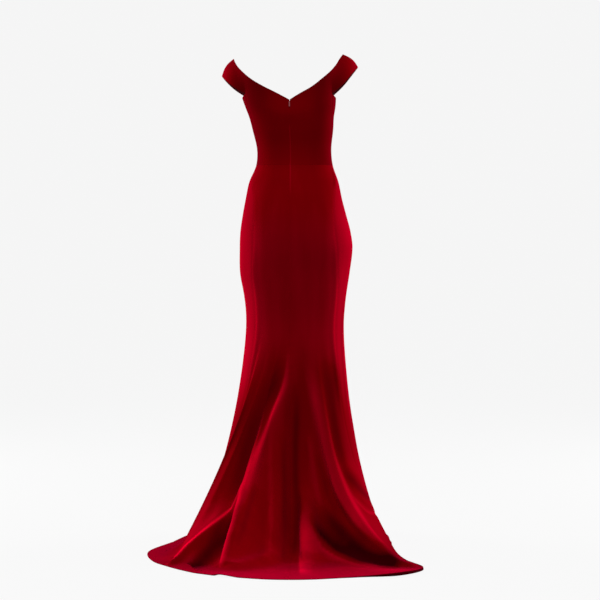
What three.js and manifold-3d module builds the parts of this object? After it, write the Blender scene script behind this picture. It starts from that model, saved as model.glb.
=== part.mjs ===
// Floor-length off-shoulder velvet gown with a train, as a worn hollow form. Millimetres, +Z up.
// The origin is the middle of the waist at the waist seam. The front faces -Y and the back +Y,
// so +X is the side of the left arm. Every cloth panel is a closed wall, parted at its seams.
import * as THREE from "three";
import { mergeVertices } from "three/addons/utils/BufferGeometryUtils.js";
import Module from "manifold-3d";

// Driving dimensions
const CLOTH = 1.6;
const SEAM_GAP = 0.3;
const FLOOR = -1161;
const KNEE = -513;
const SHOULDER_MIDDLE = 17;
const TUBE_TOP_MIDDLE = 150;
const TUBE_TOP_CORNER = 217;
const ARMHOLE_SCOOP = 10;
const BAND_CROWN = 7;
const BAND_LEAN = { out: 0.8, depth: 160, up: 0.6 };
const ZIP_LENGTH = 356;

// The share of a skirt line's way from the body that it makes steadily, the closeness of its rows to the
// floor, and the share of the straight way to the neckline that the cloth over the tube takes up
const STEADY_FALL = 0.08;
const ROWS_TO_FLOOR = 0.35;
const STRAIGHT_RISE = 0.35;
const TUBE_TOP_POWER = 1.5;

// Cross sections of the worn tube, from the underarms to the knee. z is the height over the waist seam,
// x the middle, half the half width, back and front the depths, and square the fullness of the corners.
const SECTIONS = [
  { z: 230, x: 20, half: 150, back: 94, front: 112, square: 2.6 },
  { z: 217, x: 18, half: 147, back: 95, front: 119, square: 2.6 },
  { z: 183, x: 13, half: 140, back: 95, front: 130, square: 2.6 },
  { z: 149, x: 9, half: 131, back: 92, front: 130, square: 2.5 },
  { z: 112, x: 5, half: 125, back: 86, front: 116, square: 2.4 },
  { z: 50, x: 1, half: 115, back: 76, front: 97, square: 2.3 },
  { z: 0, x: 0, half: 119, back: 77, front: 97, square: 2.2 },
  { z: -50, x: 2, half: 138, back: 91, front: 103, square: 2.2 },
  { z: -106, x: 2, half: 150, back: 108, front: 107, square: 2.2 },
  { z: -155, x: 0, half: 161, back: 118, front: 107, square: 2.2 },
  { z: -205, x: -3, half: 171, back: 120, front: 104, square: 2.2 },
  { z: -255, x: -5, half: 175, back: 115, front: 100, square: 2.2 },
  { z: -332, x: -1, half: 170, back: 102, front: 96, square: 2.1 },
  { z: -404, x: -2, half: 158, back: 92, front: 90, square: 2.1 },
  { z: -457, x: -2, half: 152, back: 86, front: 86, square: 2.1 },
  { z: KNEE, x: -1, half: 151, back: 84, front: 84, square: 2.1 },
];

// Seams round the body, as angles from the centre back, + to the left arm, at heights z.
const SEAMS = [
  { z: 230, centreBack: 0, backLeft: 61, frontLeft: 117, frontRight: 243, backRight: 299 },
  { z: 217, centreBack: 0, backLeft: 61, frontLeft: 117, frontRight: 243, backRight: 299 },
  { z: 112, centreBack: 2.6, backLeft: 70, frontLeft: 112, frontRight: 248, backRight: 290 },
  { z: 0, centreBack: 4.8, backLeft: 77, frontLeft: 106, frontRight: 254, backRight: 283 },
  { z: -40, centreBack: 4.8, backLeft: 71, frontLeft: 109, frontRight: 251, backRight: 289 },
  { z: -106, centreBack: 4.8, backLeft: 53, frontLeft: 126, frontRight: 234, backRight: 307 },
  { z: -230, centreBack: 4.9, backLeft: 46, frontLeft: 133, frontRight: 227, backRight: 318 },
  { z: -404, centreBack: 5.2, backLeft: 49, frontLeft: 131, frontRight: 229, backRight: 308 },
  { z: KNEE, centreBack: 5.6, backLeft: 49, frontLeft: 130, frontRight: 230, backRight: 310 },
];

// Lines that run down the skirt, round from the centre back by the left side and the front. knee is the
// line's angle at the knee. touch is where it meets the floor and hem where it ends, as x, y in plan.
// even is the share of its sideways travel that comes steadily, late the power of the rest, and fall the
// power of its travel from the body. bend is the height of the round where it turns on to the floor, lift
// the height of the hem, and columns the number of steps to the next line.
const LINES = [
  { name: "centreBack", knee: 5.6, touch: [8, 285], hem: [13, 633],
    even: 0.6, late: 2, fall: 3.2, bend: 80, lift: 0, columns: 2 },
  { name: "left_strip", knee: 8.6, touch: [66, 385], hem: [82, 626],
    even: 1, late: 2, fall: 3, bend: 70, lift: 0, columns: 2 },
  { name: "left_swell", knee: 11, touch: [138, 448], hem: [150, 605],
    even: 1, late: 2, fall: 3.4, bend: 45, lift: 0, columns: 2 },
  { name: "left_ridge", knee: 13.5, touch: [198, 482], hem: [207, 588],
    even: 1, late: 2, fall: 3.1, bend: 30, lift: 6, columns: 2 },
  { name: "left_step", knee: 15.5, touch: [218, 452], hem: [228, 572],
    even: 1, late: 2, fall: 4.2, bend: 35, lift: 0, columns: 3 },
  { name: "left_hollow", knee: 20, touch: [280, 462], hem: [296, 526],
    even: 0.8, late: 2, fall: 4.7, bend: 35, lift: 0, columns: 3 },
  { name: "left_branch", knee: 25, touch: [340, 405], hem: [364, 443],
    even: 0.6, late: 2.4, fall: 4.1, bend: 26, lift: 0, columns: 2 },
  { name: "left_lee", knee: 29, touch: [346, 330], hem: [408, 372],
    even: 0.64, late: 2.2, fall: 4.2, bend: 40, lift: 0, columns: 2 },
  { name: "left_flat", knee: 36, touch: [344, 200], hem: [435, 228],
    even: 0.62, late: 2, fall: 2.8, bend: 45, lift: 0, columns: 3 },
  { name: "backLeft", knee: 49, touch: [322, 50], hem: [374, 60],
    even: 0.4, late: 2, fall: 2, bend: 35, lift: 0, columns: 4 },
  { name: "left_side", knee: 90, touch: [292, -75], hem: [322, -85],
    even: 0.4, late: 2, fall: 2, bend: 25, lift: 0, columns: 4 },
  { name: "frontLeft", knee: 130, touch: [205, -185], hem: [225, -205],
    even: 0.4, late: 2, fall: 2, bend: 18, lift: 0, columns: 4 },
  { name: "front_dip_left", knee: 155, touch: [100, -200], hem: [108, -216],
    even: 0.4, late: 2, fall: 2.4, bend: 18, lift: 0, columns: 3 },
  { name: "front", knee: 180, touch: [-5, -238], hem: [-5, -256],
    even: 0.4, late: 2, fall: 2, bend: 18, lift: 0, columns: 3 },
  { name: "front_dip_right", knee: 205, touch: [-105, -203], hem: [-112, -220],
    even: 0.4, late: 2, fall: 2.4, bend: 18, lift: 0, columns: 4 },
  { name: "frontRight", knee: 230, touch: [-200, -185], hem: [-220, -205],
    even: 0.4, late: 2, fall: 2, bend: 18, lift: 0, columns: 4 },
  { name: "right_side", knee: 270, touch: [-270, -70], hem: [-288, -78],
    even: 0.34, late: 2.4, fall: 2, bend: 22, lift: 0, columns: 4 },
  { name: "backRight", knee: 310, touch: [-282, 75], hem: [-296, 82],
    even: 0.36, late: 2.6, fall: 2.4, bend: 22, lift: 0, columns: 3 },
  { name: "right_flat", knee: 324, touch: [-292, 220], hem: [-305, 238],
    even: 0.36, late: 3.4, fall: 3.2, bend: 22, lift: 0, columns: 3 },
  { name: "right_bright", knee: 333, touch: [-300, 350], hem: [-324, 378],
    even: 0.3, late: 4.4, fall: 4.6, bend: 25, lift: 4, columns: 3 },
  { name: "right_ridge", knee: 341, touch: [-305, 440], hem: [-364, 505],
    even: 0.35, late: 5.5, fall: 5, bend: 30, lift: 8, columns: 3 },
  { name: "right_crescent", knee: 348, touch: [-215, 395], hem: [-290, 588],
    even: 0.4, late: 4, fall: 5.5, bend: 60, lift: 10, columns: 3 },
  { name: "right_small", knee: 354, touch: [-115, 275], hem: [-160, 603],
    even: 0.6, late: 3, fall: 4.5, bend: 80, lift: 0, columns: 2 },
  { name: "floor_rise", knee: 360, touch: [-38, 350], hem: [-55, 628],
    even: 0.7, late: 2, fall: 5.2, bend: 70, lift: 0, columns: 3 },
];

// The neckline, round from the centre back over one arm to the centre front: out from the shoulder middle,
// y and z. The corner is where the back leaves the body, and the tip is the shoulder seam.
const NECKLINE = {
  left: [
    { name: "vee", out: -2, y: 91, z: 196 },
    { out: 38, y: 94, z: 217 },
    { out: 77, y: 95, z: 236 },
    { out: 116, y: 86, z: 259 },
    { name: "corner", out: 136, y: 74, z: 276 },
    { out: 153, y: 53, z: 295 },
    { out: 165, y: 29, z: 314 },
    { name: "tip", out: 171, y: 0, z: 330 },
    { out: 165, y: -31, z: 314 },
    { out: 152, y: -58, z: 294 },
    { name: "front_corner", out: 134, y: -80, z: 272 },
    { out: 108, y: -98, z: 250 },
    { out: 74, y: -112, z: 227 },
    { out: 38, y: -120, z: 206 },
    { name: "centre_front", out: -3, y: -121, z: 188 },
  ],
  right: [
    { name: "vee", out: 2, y: 91, z: 196 },
    { out: 31, y: 94, z: 214 },
    { out: 70, y: 95, z: 236 },
    { out: 109, y: 86, z: 267 },
    { name: "corner", out: 129, y: 74, z: 285 },
    { out: 144, y: 53, z: 305 },
    { out: 155, y: 29, z: 326 },
    { name: "tip", out: 167, y: 0, z: 344 },
    { out: 156, y: -31, z: 326 },
    { out: 144, y: -58, z: 304 },
    { name: "front_corner", out: 128, y: -80, z: 280 },
    { out: 102, y: -98, z: 256 },
    { out: 70, y: -112, z: 231 },
    { out: 34, y: -120, z: 207 },
    { name: "centre_front", out: 3, y: -121, z: 188 },
  ],
};

// The lower edge of each band, from the back corner over the arm to the front corner.
const BAND_EDGE = {
  left: [
    { out: 170, y: 46, z: 239 },
    { out: 193, y: 29, z: 259 },
    { out: 208, y: 0, z: 276 },
    { out: 194, y: -31, z: 260 },
    { out: 170, y: -52, z: 239 },
  ],
  right: [
    { out: 169, y: 46, z: 250 },
    { out: 195, y: 28, z: 282 },
    { out: 214, y: 0, z: 304 },
    { out: 196, y: -30, z: 282 },
    { out: 169, y: -52, z: 250 },
  ],
};

// The cups that the bust darts make, as soft rounds on the front
const CUP = { out: 84, z: 156, radius: 56, depth: 13, fall: 1.4 };

// The invisible zip: the tape behind the centre-back seam, the slider at its top, and the hanging pull.
// The slider's lug comes out through the seam, which parts a little there, and carries the pull's pin.
const TAPE = { half: 12, thick: 1, top: 183, gap: 0.3, clear: 2 };
const SLIDER = { width: 5.2, height: 8, depth: 2.4, low: 184.8, gap: 0.4 };
const LUG = { thick: 1, half: 1.4, reach: 1.9, hole: 0.75, up: 189.3, sunk: 1 };
const PULL = {
  width: 3.6, length: 15.5, thick: 1, taper: 0.2, slot: 1.6,
  crown: 1.3, notch: 1.85, pin: 0.42, pinSunk: 0.4,
};
const ROUND_STEPS = 10;
const SEAM_PARTING = { width: 1.75, above: 183, reach: 6 };

const radians = (degrees) => (degrees * Math.PI) / 180;
const mix = (a, b, t) => a + (b - a) * t;
const clamp = (v, low, high) => Math.min(high, Math.max(low, v));

// A smooth curve through values at rising places, with the slope at each place from its neighbours
function smooth(places, values, at) {
  const last = places.length - 1;
  const x = clamp(at, places[0], places[last]);
  let i = 0;
  while (i < last - 1 && x > places[i + 1]) i += 1;
  const slope = (k) => {
    const before = Math.max(k - 1, 0);
    const after = Math.min(k + 1, last);
    return (values[after] - values[before]) / (places[after] - places[before]);
  };
  const step = places[i + 1] - places[i];
  const t = (x - places[i]) / step;
  const t2 = t * t;
  const t3 = t2 * t;
  return (
    (2 * t3 - 3 * t2 + 1) * values[i] +
    (t3 - 2 * t2 + t) * step * slope(i) +
    (3 * t2 - 2 * t3) * values[i + 1] +
    (t3 - t2) * step * slope(i + 1)
  );
}

// A column of a table whose rows go down in z
function level(rows, column, z) {
  const rising = [...rows].reverse();
  return smooth(
    rising.map((row) => row.z),
    rising.map((row) => row[column]),
    z,
  );
}

// The point of the tube at an angle and a height
function tubePoint(angle, z) {
  const c = Math.cos(radians(angle));
  const s = Math.sin(radians(angle));
  const power = 2 / level(SECTIONS, "square", z);
  const depth = c > 0 ? level(SECTIONS, "back", z) : level(SECTIONS, "front", z);
  const x = level(SECTIONS, "x", z) + level(SECTIONS, "half", z) * Math.sign(s) * Math.abs(s) ** power;
  const y = depth * Math.sign(c) * Math.abs(c) ** power;
  const point = new THREE.Vector3(x, y, z);
  if (c < 0) {
    for (const side of [-1, 1]) {
      const dx = x - level(SECTIONS, "x", z) - side * CUP.out;
      const far = (dx * dx + (z - CUP.z) ** 2) / CUP.radius ** 2;
      point.y -= CUP.depth * Math.exp(-far * CUP.fall) * Math.abs(c);
    }
  }
  return point;
}

// A cloth is a pool of points with four-cornered faces, each face in a named panel
class Cloth {
  constructor() {
    this.points = [];
    this.faces = [];
  }
  add(point) {
    this.points.push(point);
    return this.points.length - 1;
  }
  // Faces of one panel between rows of point numbers; rows run down, columns to growing angles
  grid(panel, rows) {
    for (let r = 0; r + 1 < rows.length; r += 1) {
      for (let c = 0; c + 1 < rows[r].length; c += 1) {
        this.faces.push({
          panel,
          corners: [rows[r][c], rows[r][c + 1], rows[r + 1][c + 1], rows[r + 1][c]],
        });
      }
    }
  }
  normals() {
    const out = this.points.map(() => new THREE.Vector3());
    for (const { corners } of this.faces) {
      const [a, b, c, d] = corners.map((k) => this.points[k]);
      const across = new THREE.Vector3().subVectors(c, a);
      const other = new THREE.Vector3().subVectors(d, b);
      const normal = across.cross(other);
      for (const k of corners) out[k].add(normal);
    }
    // The rims at the waist seam lie level, so that bodice and skirt part along a plane
    out.forEach((n, k) => {
      if (Math.abs(this.points[k].z) < SEAM_GAP) n.z = 0;
    });
    return out.map((n) => n.normalize());
  }
}

// How far a panel's edge is drawn back at a seam: half the gap, and more where the slider comes through
function drawnBack(point) {
  const beside = Math.abs(point.x - SHOULDER_MIDDLE) < SEAM_PARTING.reach;
  const atSlider = beside && point.y > 0 && point.z > SEAM_PARTING.above;
  return (atSlider ? SEAM_PARTING.width : SEAM_GAP) / 2;
}

// The closed wall of one panel: outer face, inner face moved in by the cloth, and rims at its edges.
// Where the panel meets another, its edge is drawn back by half the seam gap.
function panelGeometry(cloth, normals, panel, lowest = -Infinity) {
  const faces = cloth.faces.filter((face) => face.panel === panel);
  const shared = new Set();
  for (const face of cloth.faces) {
    if (face.panel !== panel) for (const k of face.corners) shared.add(k);
  }
  const pull = new Map();
  for (const { corners } of faces) {
    const centre = new THREE.Vector3();
    for (const k of corners) centre.addScaledVector(cloth.points[k], 0.25);
    for (const k of corners) {
      if (!shared.has(k)) continue;
      if (!pull.has(k)) pull.set(k, new THREE.Vector3());
      pull.get(k).add(new THREE.Vector3().subVectors(centre, cloth.points[k]).normalize());
    }
  }
  // Along each seam only the part of the pull that is square to the seam counts
  const edges = new Map();
  for (const { corners } of faces) {
    corners.forEach((from, i) => {
      const to = corners[(i + 1) % 4];
      if (edges.has(`${to},${from}`)) edges.delete(`${to},${from}`);
      else edges.set(`${from},${to}`, [from, to]);
    });
  }
  const along = new Map();
  for (const [from, to] of edges.values()) {
    if (!shared.has(from) || !shared.has(to)) continue;
    const way = new THREE.Vector3().subVectors(cloth.points[to], cloth.points[from]).normalize();
    for (const k of [from, to]) {
      if (!along.has(k)) along.set(k, new THREE.Vector3());
      along.get(k).add(way);
    }
  }
  const numbers = new Map();
  const outer = [];
  const inner = [];
  const numberOf = (k) => {
    if (!numbers.has(k)) {
      const point = cloth.points[k].clone();
      if (pull.has(k)) {
        const move = pull.get(k).clone();
        if (along.has(k)) {
          const way = along.get(k).clone().normalize();
          move.addScaledVector(way, -move.dot(way));
        }
        move.addScaledVector(normals[k], -move.dot(normals[k]));
        point.addScaledVector(move.normalize(), drawnBack(point));
      }
      numbers.set(k, outer.length);
      outer.push(point);
      const under = point.clone().addScaledVector(normals[k], -CLOTH);
      under.z = Math.max(under.z, lowest);
      inner.push(under);
    }
    return numbers.get(k);
  };
  const triangles = [];
  for (const { corners } of faces) {
    const [a, b, c, d] = corners.map(numberOf);
    triangles.push([a, b, c], [a, c, d]);
  }
  const count = outer.length;
  const both = triangles.concat(triangles.map(([a, b, c]) => [a + count, c + count, b + count]));
  for (const [from, to] of edges.values()) {
    const a = numberOf(from);
    const b = numberOf(to);
    both.push([b, a, a + count], [b, a + count, b + count]);
  }
  return indexed([...outer, ...inner], both);
}

function indexed(points, triangles) {
  const geometry = new THREE.BufferGeometry();
  const numbers = points.flatMap((p) => [p.x, p.y, p.z]);
  geometry.setAttribute("position", new THREE.Float32BufferAttribute(numbers, 3));
  geometry.setIndex(triangles.flat());
  geometry.computeVertexNormals();
  return geometry;
}

// Skirt: lines are found by number, with fractions between two lines
const lineCount = LINES.length;
const lineNumber = (name) => LINES.findIndex((line) => line.name === name);

// A value of the skirt's lines at a number between them, smooth all round
function around(at, value) {
  const i = Math.floor(at);
  const t = at - i;
  const line = (k) => LINES[((k % lineCount) + lineCount) % lineCount];
  const knot = (k) => {
    const [x, y] = line(k).hem;
    const [nextX, nextY] = line(k + 1).hem;
    return Math.sqrt(Math.hypot(nextX - x, nextY - y));
  };
  const [before, step, after] = [i - 1, i, i + 1].map(knot);
  const [p, q, r, s] = [-1, 0, 1, 2].map((k) => value(line(i + k), i + k));
  const slopeQ = (((q - p) / before) * step + ((r - q) / step) * before) / (before + step);
  const slopeR = (((r - q) / step) * after + ((s - r) / after) * step) / (step + after);
  const t2 = t * t;
  const t3 = t2 * t;
  return (
    (2 * t3 - 3 * t2 + 1) * q +
    (t3 - 2 * t2 + t) * step * slopeQ +
    (3 * t2 - 2 * t3) * r +
    (t3 - t2) * step * slopeR
  );
}

// The angle of a skirt line at the knee, and higher up in the same share between its two seams
const kneeAngle = (line, k) => line.knee + 360 * Math.floor(k / lineCount);
const SEAM_NAMES = ["centreBack", "backLeft", "frontLeft", "frontRight", "backRight", "centreBack"];

const PANEL_COUNT = SEAM_NAMES.length - 1;

// The angle of seam k at a height; the last is the centre back again after a full turn
const seamAngle = (k, z) => level(SEAMS, SEAM_NAMES[k], z) + (k === PANEL_COUNT ? 360 : 0);

function skirtAngle(at, z) {
  const knee = around(at, kneeAngle);
  let k = 0;
  while (k < PANEL_COUNT - 1 && knee > seamAngle(k + 1, KNEE)) k += 1;
  const share = (knee - seamAngle(k, KNEE)) / (seamAngle(k + 1, KNEE) - seamAngle(k, KNEE));
  return mix(seamAngle(k, z), seamAngle(k + 1, z), share);
}

// Below the knee a line falls to its touch point and then runs out on the floor to the hem
function skirtBelow(at, down, out) {
  const start = tubePoint(around(at, kneeAngle), KNEE);
  const touch = [0, 1].map((axis) => around(at, (line) => line.touch[axis]));
  const hem = [0, 1].map((axis) => around(at, (line) => line.hem[axis]));
  const even = around(at, (line) => line.even);
  const late = around(at, (line) => line.late);
  const fall = around(at, (line) => line.fall);
  const bend = around(at, (line) => line.bend);
  const lift = around(at, (line) => line.lift);
  const height = KNEE - FLOOR;
  const sideways = even * down + (1 - even) * down ** late;
  const backwards = STEADY_FALL * down + (1 - STEADY_FALL) * down ** fall;
  const x = mix(mix(start.x, touch[0], sideways), hem[0], out);
  const y = mix(mix(start.y, touch[1], backwards), hem[1], out);
  const slopeX = (touch[0] - start.x) * (even + (1 - even) * late);
  const slopeY = (touch[1] - start.y) * (STEADY_FALL + (1 - STEADY_FALL) * fall);
  const steep = height / Math.hypot(slopeX, slopeY);
  const run = Math.hypot(hem[0] - touch[0], hem[1] - touch[1]);
  const free = out > 0 ? -steep * run * out : height * (1 - down);
  let z = free;
  if (free < bend) z = free < -bend ? 0 : (free + bend) ** 2 / (4 * bend);
  return new THREE.Vector3(x, y, FLOOR + CLOTH + z + lift * out * out * out);
}

const UPPER_STEPS = 14;
const FALL_STEPS = 15;
const FLOOR_STEPS = 6;

// One point of the skirt on a line at a row
function skirtPoint(at, row) {
  if (row <= UPPER_STEPS) {
    const z = mix(-SEAM_GAP / 2, KNEE, row / UPPER_STEPS);
    return tubePoint(skirtAngle(at, z), z);
  }
  if (row <= UPPER_STEPS + FALL_STEPS) {
    const t = (row - UPPER_STEPS) / FALL_STEPS;
    return skirtBelow(at, mix(t, 1 - (1 - t) ** 2, ROWS_TO_FLOOR), 0);
  }
  const t = (row - UPPER_STEPS - FALL_STEPS) / FLOOR_STEPS;
  return skirtBelow(at, 1, t);
}

function buildSkirt() {
  const cloth = new Cloth();
  const places = [];
  LINES.forEach((line, i) => {
    for (let k = 0; k < line.columns; k += 1) places.push(i + k / line.columns);
  });
  const rowCount = UPPER_STEPS + FALL_STEPS + FLOOR_STEPS + 1;
  const rows = [];
  for (let row = 0; row < rowCount; row += 1) {
    rows.push(places.map((at) => cloth.add(skirtPoint(at, row))));
  }
  const columnOf = (name) => places.findIndex((at) => at === lineNumber(name));
  const strip = (panel, from, to) => {
    const count = (to - from + places.length) % places.length;
    cloth.grid(
      panel,
      rows.map((row) => Array.from({ length: count + 1 }, (_, k) => row[(from + k) % places.length])),
    );
  };
  strip("skirt_back_left", columnOf("centreBack"), columnOf("backLeft"));
  strip("skirt_side_left", columnOf("backLeft"), columnOf("frontLeft"));
  strip("skirt_front", columnOf("frontLeft"), columnOf("frontRight"));
  strip("skirt_side_right", columnOf("frontRight"), columnOf("backRight"));
  strip("skirt_back_right", columnOf("backRight"), columnOf("centreBack"));
  const beside = (row, step) => {
    let k = step;
    const number = () => row[(k + places.length) % places.length];
    while (cloth.points[number()].distanceTo(cloth.points[row[0]]) < TAPE.half) k += step;
    return number();
  };
  cloth.zipRows = rows.slice(1, UPPER_STEPS).map((row) => [beside(row, 1), row[0], beside(row, -1)]);
  return cloth;
}

// Bodice: columns of the tube round the body, then the upper patches that spread over the arms
const TUBE_STEPS = 9;
const PATCH_STEPS = 5;
const BAND_COLUMNS = 9;
const PANEL_COLUMNS = { back: 9, side: 4, front: 9 };

// A smooth curve in space through named table points, by the distance along them
function spaceCurve(points) {
  const places = [0];
  for (let i = 1; i < points.length; i += 1) {
    places.push(places[i - 1] + points[i].distanceTo(points[i - 1]));
  }
  const columns = ["x", "y", "z"].map((axis) => points.map((p) => p[axis]));
  const at = (d) => new THREE.Vector3(...columns.map((values) => smooth(places, values, d)));
  return { at, places, length: places[places.length - 1] };
}

// The height of the tube's top at an angle: low at both centres, highest at the corners of the armholes,
// and scooped under the arm
function tubeTop(angle) {
  const seams = (name) => level(SEAMS, name, TUBE_TOP_CORNER);
  const turned = ((angle % 360) + 360) % 360;
  const folded = turned > 180 ? 360 - turned : turned;
  const back = seams("backLeft");
  const front = seams("frontLeft");
  const rise = (share) => mix(TUBE_TOP_MIDDLE, TUBE_TOP_CORNER, share ** TUBE_TOP_POWER);
  if (folded < back) return rise(folded / back);
  if (folded > front) return rise((180 - folded) / (180 - front));
  const share = (folded - back) / (front - back);
  return TUBE_TOP_CORNER - ARMHOLE_SCOOP * Math.sin(Math.PI * share);
}

// A point of the bodice tube on a column, from the waist, 0, to its top, 1
function bodicePoint(column, up) {
  const topAngle = column.angle(TUBE_TOP_CORNER);
  const z = mix(SEAM_GAP / 2, tubeTop(topAngle), up);
  return tubePoint(column.angle(z), z);
}

function bodiceColumns() {
  const { back, side, front } = PANEL_COLUMNS;
  const counts = [back, side, front * 2, side, back];
  const columns = [];
  counts.forEach((count, k) => {
    for (let c = 0; c < count; c += 1) {
      const angle = (z) => mix(seamAngle(k, z), seamAngle(k + 1, z), c / count);
      columns.push({ angle });
    }
  });
  return { columns, counts };
}

function buildBodice() {
  const cloth = new Cloth();
  const { columns, counts } = bodiceColumns();
  const starts = counts.map((_, k) => counts.slice(0, k).reduce((sum, n) => sum + n, 0));
  const rows = [];
  for (let r = 0; r <= TUBE_STEPS; r += 1) {
    const up = 1 - r / TUBE_STEPS;
    rows.push(columns.map((column) => cloth.add(bodicePoint(column, up))));
  }
  const total = columns.length;
  const strip = (panel, k) => {
    const numbers = Array.from({ length: counts[k] + 1 }, (_, c) => (starts[k] + c) % total);
    cloth.grid(
      panel,
      rows.map((row) => numbers.map((n) => row[n])),
    );
  };
  strip("bodice_back_left", 0);
  strip("bodice_side_left", 1);
  strip("bodice_front", 2);
  strip("bodice_side_right", 3);
  strip("bodice_back_right", 4);

  const middles = new Map();
  const patches = {
    left: upperSide(cloth, rows, starts, counts, 1, middles),
    right: upperSide(cloth, rows, starts, counts, -1, middles),
  };
  // The front and the back of each side share the shoulder seam's points. The two backs share the
  // centre-back seam below the V, and the fronts the centre line.
  for (const side of ["left", "right"]) {
    const grid = patches[side];
    const seam = grid.seamColumn;
    const backRows = grid.rows.map((row) => row.slice(0, seam + 1));
    const frontRows = grid.rows.map((row) => row.slice(seam));
    const turn = (list) => (side === "left" ? list : list.map((row) => [...row].reverse()));
    cloth.grid(`bodice_back_${side}`, turn(backRows));
    cloth.grid("bodice_front", turn(frontRows));
  }
  const above = patches.left.rows.slice(0, -1).map((row, r) => [row[1], row[0], patches.right.rows[r][1]]);
  const below = rows.map((row) => [row[1], row[0], row[total - 1]]);
  cloth.zipRows = above.concat(below);
  return cloth;
}

// The patch of one side from the tube's top and the band's lower edge up to the neckline,
// as rows from the neckline down. Columns run from the centre back over the arm to the centre front.
// Both sides share the middles, the columns at the centre back and the centre front.
function upperSide(cloth, rows, starts, counts, side, middles) {
  const name = side > 0 ? "left" : "right";
  const table = NECKLINE[name];
  const inSpace = (p) => new THREE.Vector3(SHOULDER_MIDDLE + side * p.out, p.y, p.z);
  const neck = spaceCurve(table.map(inSpace));
  const placeOf = (label) => neck.places[table.findIndex((p) => p.name === label)];
  const total = rows[0].length;
  const wrap = (c) => ((c % total) + total) % total;
  const topRow = rows[0];
  const nextRow = rows[1];
  const backColumns = [];
  for (let c = 0; c <= counts[0]; c += 1) backColumns.push(wrap(side > 0 ? c : -c));
  const frontStart = side > 0 ? starts[2] : starts[3];
  const frontColumns = [];
  for (let c = 0; c <= counts[2] / 2; c += 1) frontColumns.push(wrap(frontStart + side * c));
  const corners = [topRow[backColumns[counts[0]]], topRow[frontColumns[0]]];
  const [backCorner, frontCorner] = corners.map((k) => cloth.points[k]);
  const edge = spaceCurve([backCorner, ...BAND_EDGE[name].map(inSpace), frontCorner]);
  const tipEdge = edge.places[1 + BAND_EDGE[name].findIndex((p) => p.y === 0)];

  const list = [];
  backColumns.forEach((c, k) => {
    list.push({ low: topRow[c], below: nextRow[c], high: (placeOf("corner") * k) / counts[0] });
  });
  for (let k = 1; k < BAND_COLUMNS; k += 1) {
    const t = k / BAND_COLUMNS;
    list.push({ edge: tipEdge * t, high: mix(placeOf("corner"), placeOf("tip"), t) });
  }
  const seamColumn = list.length;
  for (let k = 0; k < BAND_COLUMNS; k += 1) {
    const t = k / BAND_COLUMNS;
    const high = mix(placeOf("tip"), placeOf("front_corner"), t);
    list.push({ edge: mix(tipEdge, edge.length, t), high });
  }
  frontColumns.forEach((c, k) => {
    const high = mix(placeOf("front_corner"), neck.length, k / (counts[2] / 2));
    list.push({ low: topRow[c], below: nextRow[c], high });
  });

  const grid = Array.from({ length: PATCH_STEPS + 1 }, () => []);
  list.forEach((column, k) => {
    const centre = k === 0 ? "back" : k === list.length - 1 ? "front" : null;
    if (centre && middles.has(centre)) {
      middles.get(centre).forEach((number, r) => grid[r].push(number));
      return;
    }
    const high = neck.at(column.high);
    const low = column.low === undefined ? edge.at(column.edge) : cloth.points[column.low];
    const straight = new THREE.Vector3().subVectors(high, low);
    const rise = straight.clone();
    if (column.below !== undefined) {
      rise.subVectors(low, cloth.points[column.below]).setLength(straight.length());
      rise.lerp(straight, STRAIGHT_RISE);
    }
    const alongBand = clamp((k - counts[0]) / (2 * BAND_COLUMNS), 0, 1);
    const span = Math.sin(Math.PI * alongBand);
    const outwards = new THREE.Vector3(side * BAND_LEAN.out, low.y / BAND_LEAN.depth, BAND_LEAN.up);
    outwards.normalize();
    for (let r = 0; r <= PATCH_STEPS; r += 1) {
      const t = 1 - r / PATCH_STEPS;
      if (r === PATCH_STEPS && column.low !== undefined) {
        grid[r].push(column.low);
        continue;
      }
      const t2 = t * t;
      const t3 = t2 * t;
      const point = low.clone().multiplyScalar(2 * t3 - 3 * t2 + 1);
      point.addScaledVector(rise, t3 - 2 * t2 + t);
      point.addScaledVector(high, 3 * t2 - 2 * t3);
      point.addScaledVector(straight, t3 - t2);
      point.addScaledVector(outwards, BAND_CROWN * span * Math.sin(Math.PI * t));
      grid[r].push(cloth.add(point));
    }
    if (centre) middles.set(centre, grid.map((row) => row[row.length - 1]));
  });
  return { rows: grid, seamColumn };
}

// The zip tape follows the inner face of the cloth on both sides of the seam
function tapeSections(parts) {
  const sections = [];
  for (const { cloth, normals } of parts) {
    for (const [left, centre, right] of cloth.zipRows) {
      const middle = cloth.points[centre];
      const side = (k) => {
        const share = TAPE.half / cloth.points[k].distanceTo(middle);
        return {
          point: middle.clone().lerp(cloth.points[k], share),
          normal: normals[centre].clone().lerp(normals[k], share).normalize(),
        };
      };
      sections.push([side(right), { point: middle.clone(), normal: normals[centre] }, side(left)]);
    }
  }
  const z = (section) => section[1].point.z;
  const cut = (at) => {
    const k = sections.findIndex((section, n) => n + 1 < sections.length && z(sections[n + 1]) <= at);
    const share = (z(sections[k]) - at) / (z(sections[k]) - z(sections[k + 1]));
    return sections[k].map((side, n) => ({
      point: side.point.clone().lerp(sections[k + 1][n].point, share),
      normal: side.normal.clone().lerp(sections[k + 1][n].normal, share).normalize(),
    }));
  };
  const bottom = TAPE.top - ZIP_LENGTH;
  const [highest, lowest] = [TAPE.top - TAPE.clear, bottom + TAPE.clear];
  const between = sections.filter((section) => z(section) < highest && z(section) > lowest);
  return [cut(TAPE.top), ...between, cut(bottom)];
}

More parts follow.
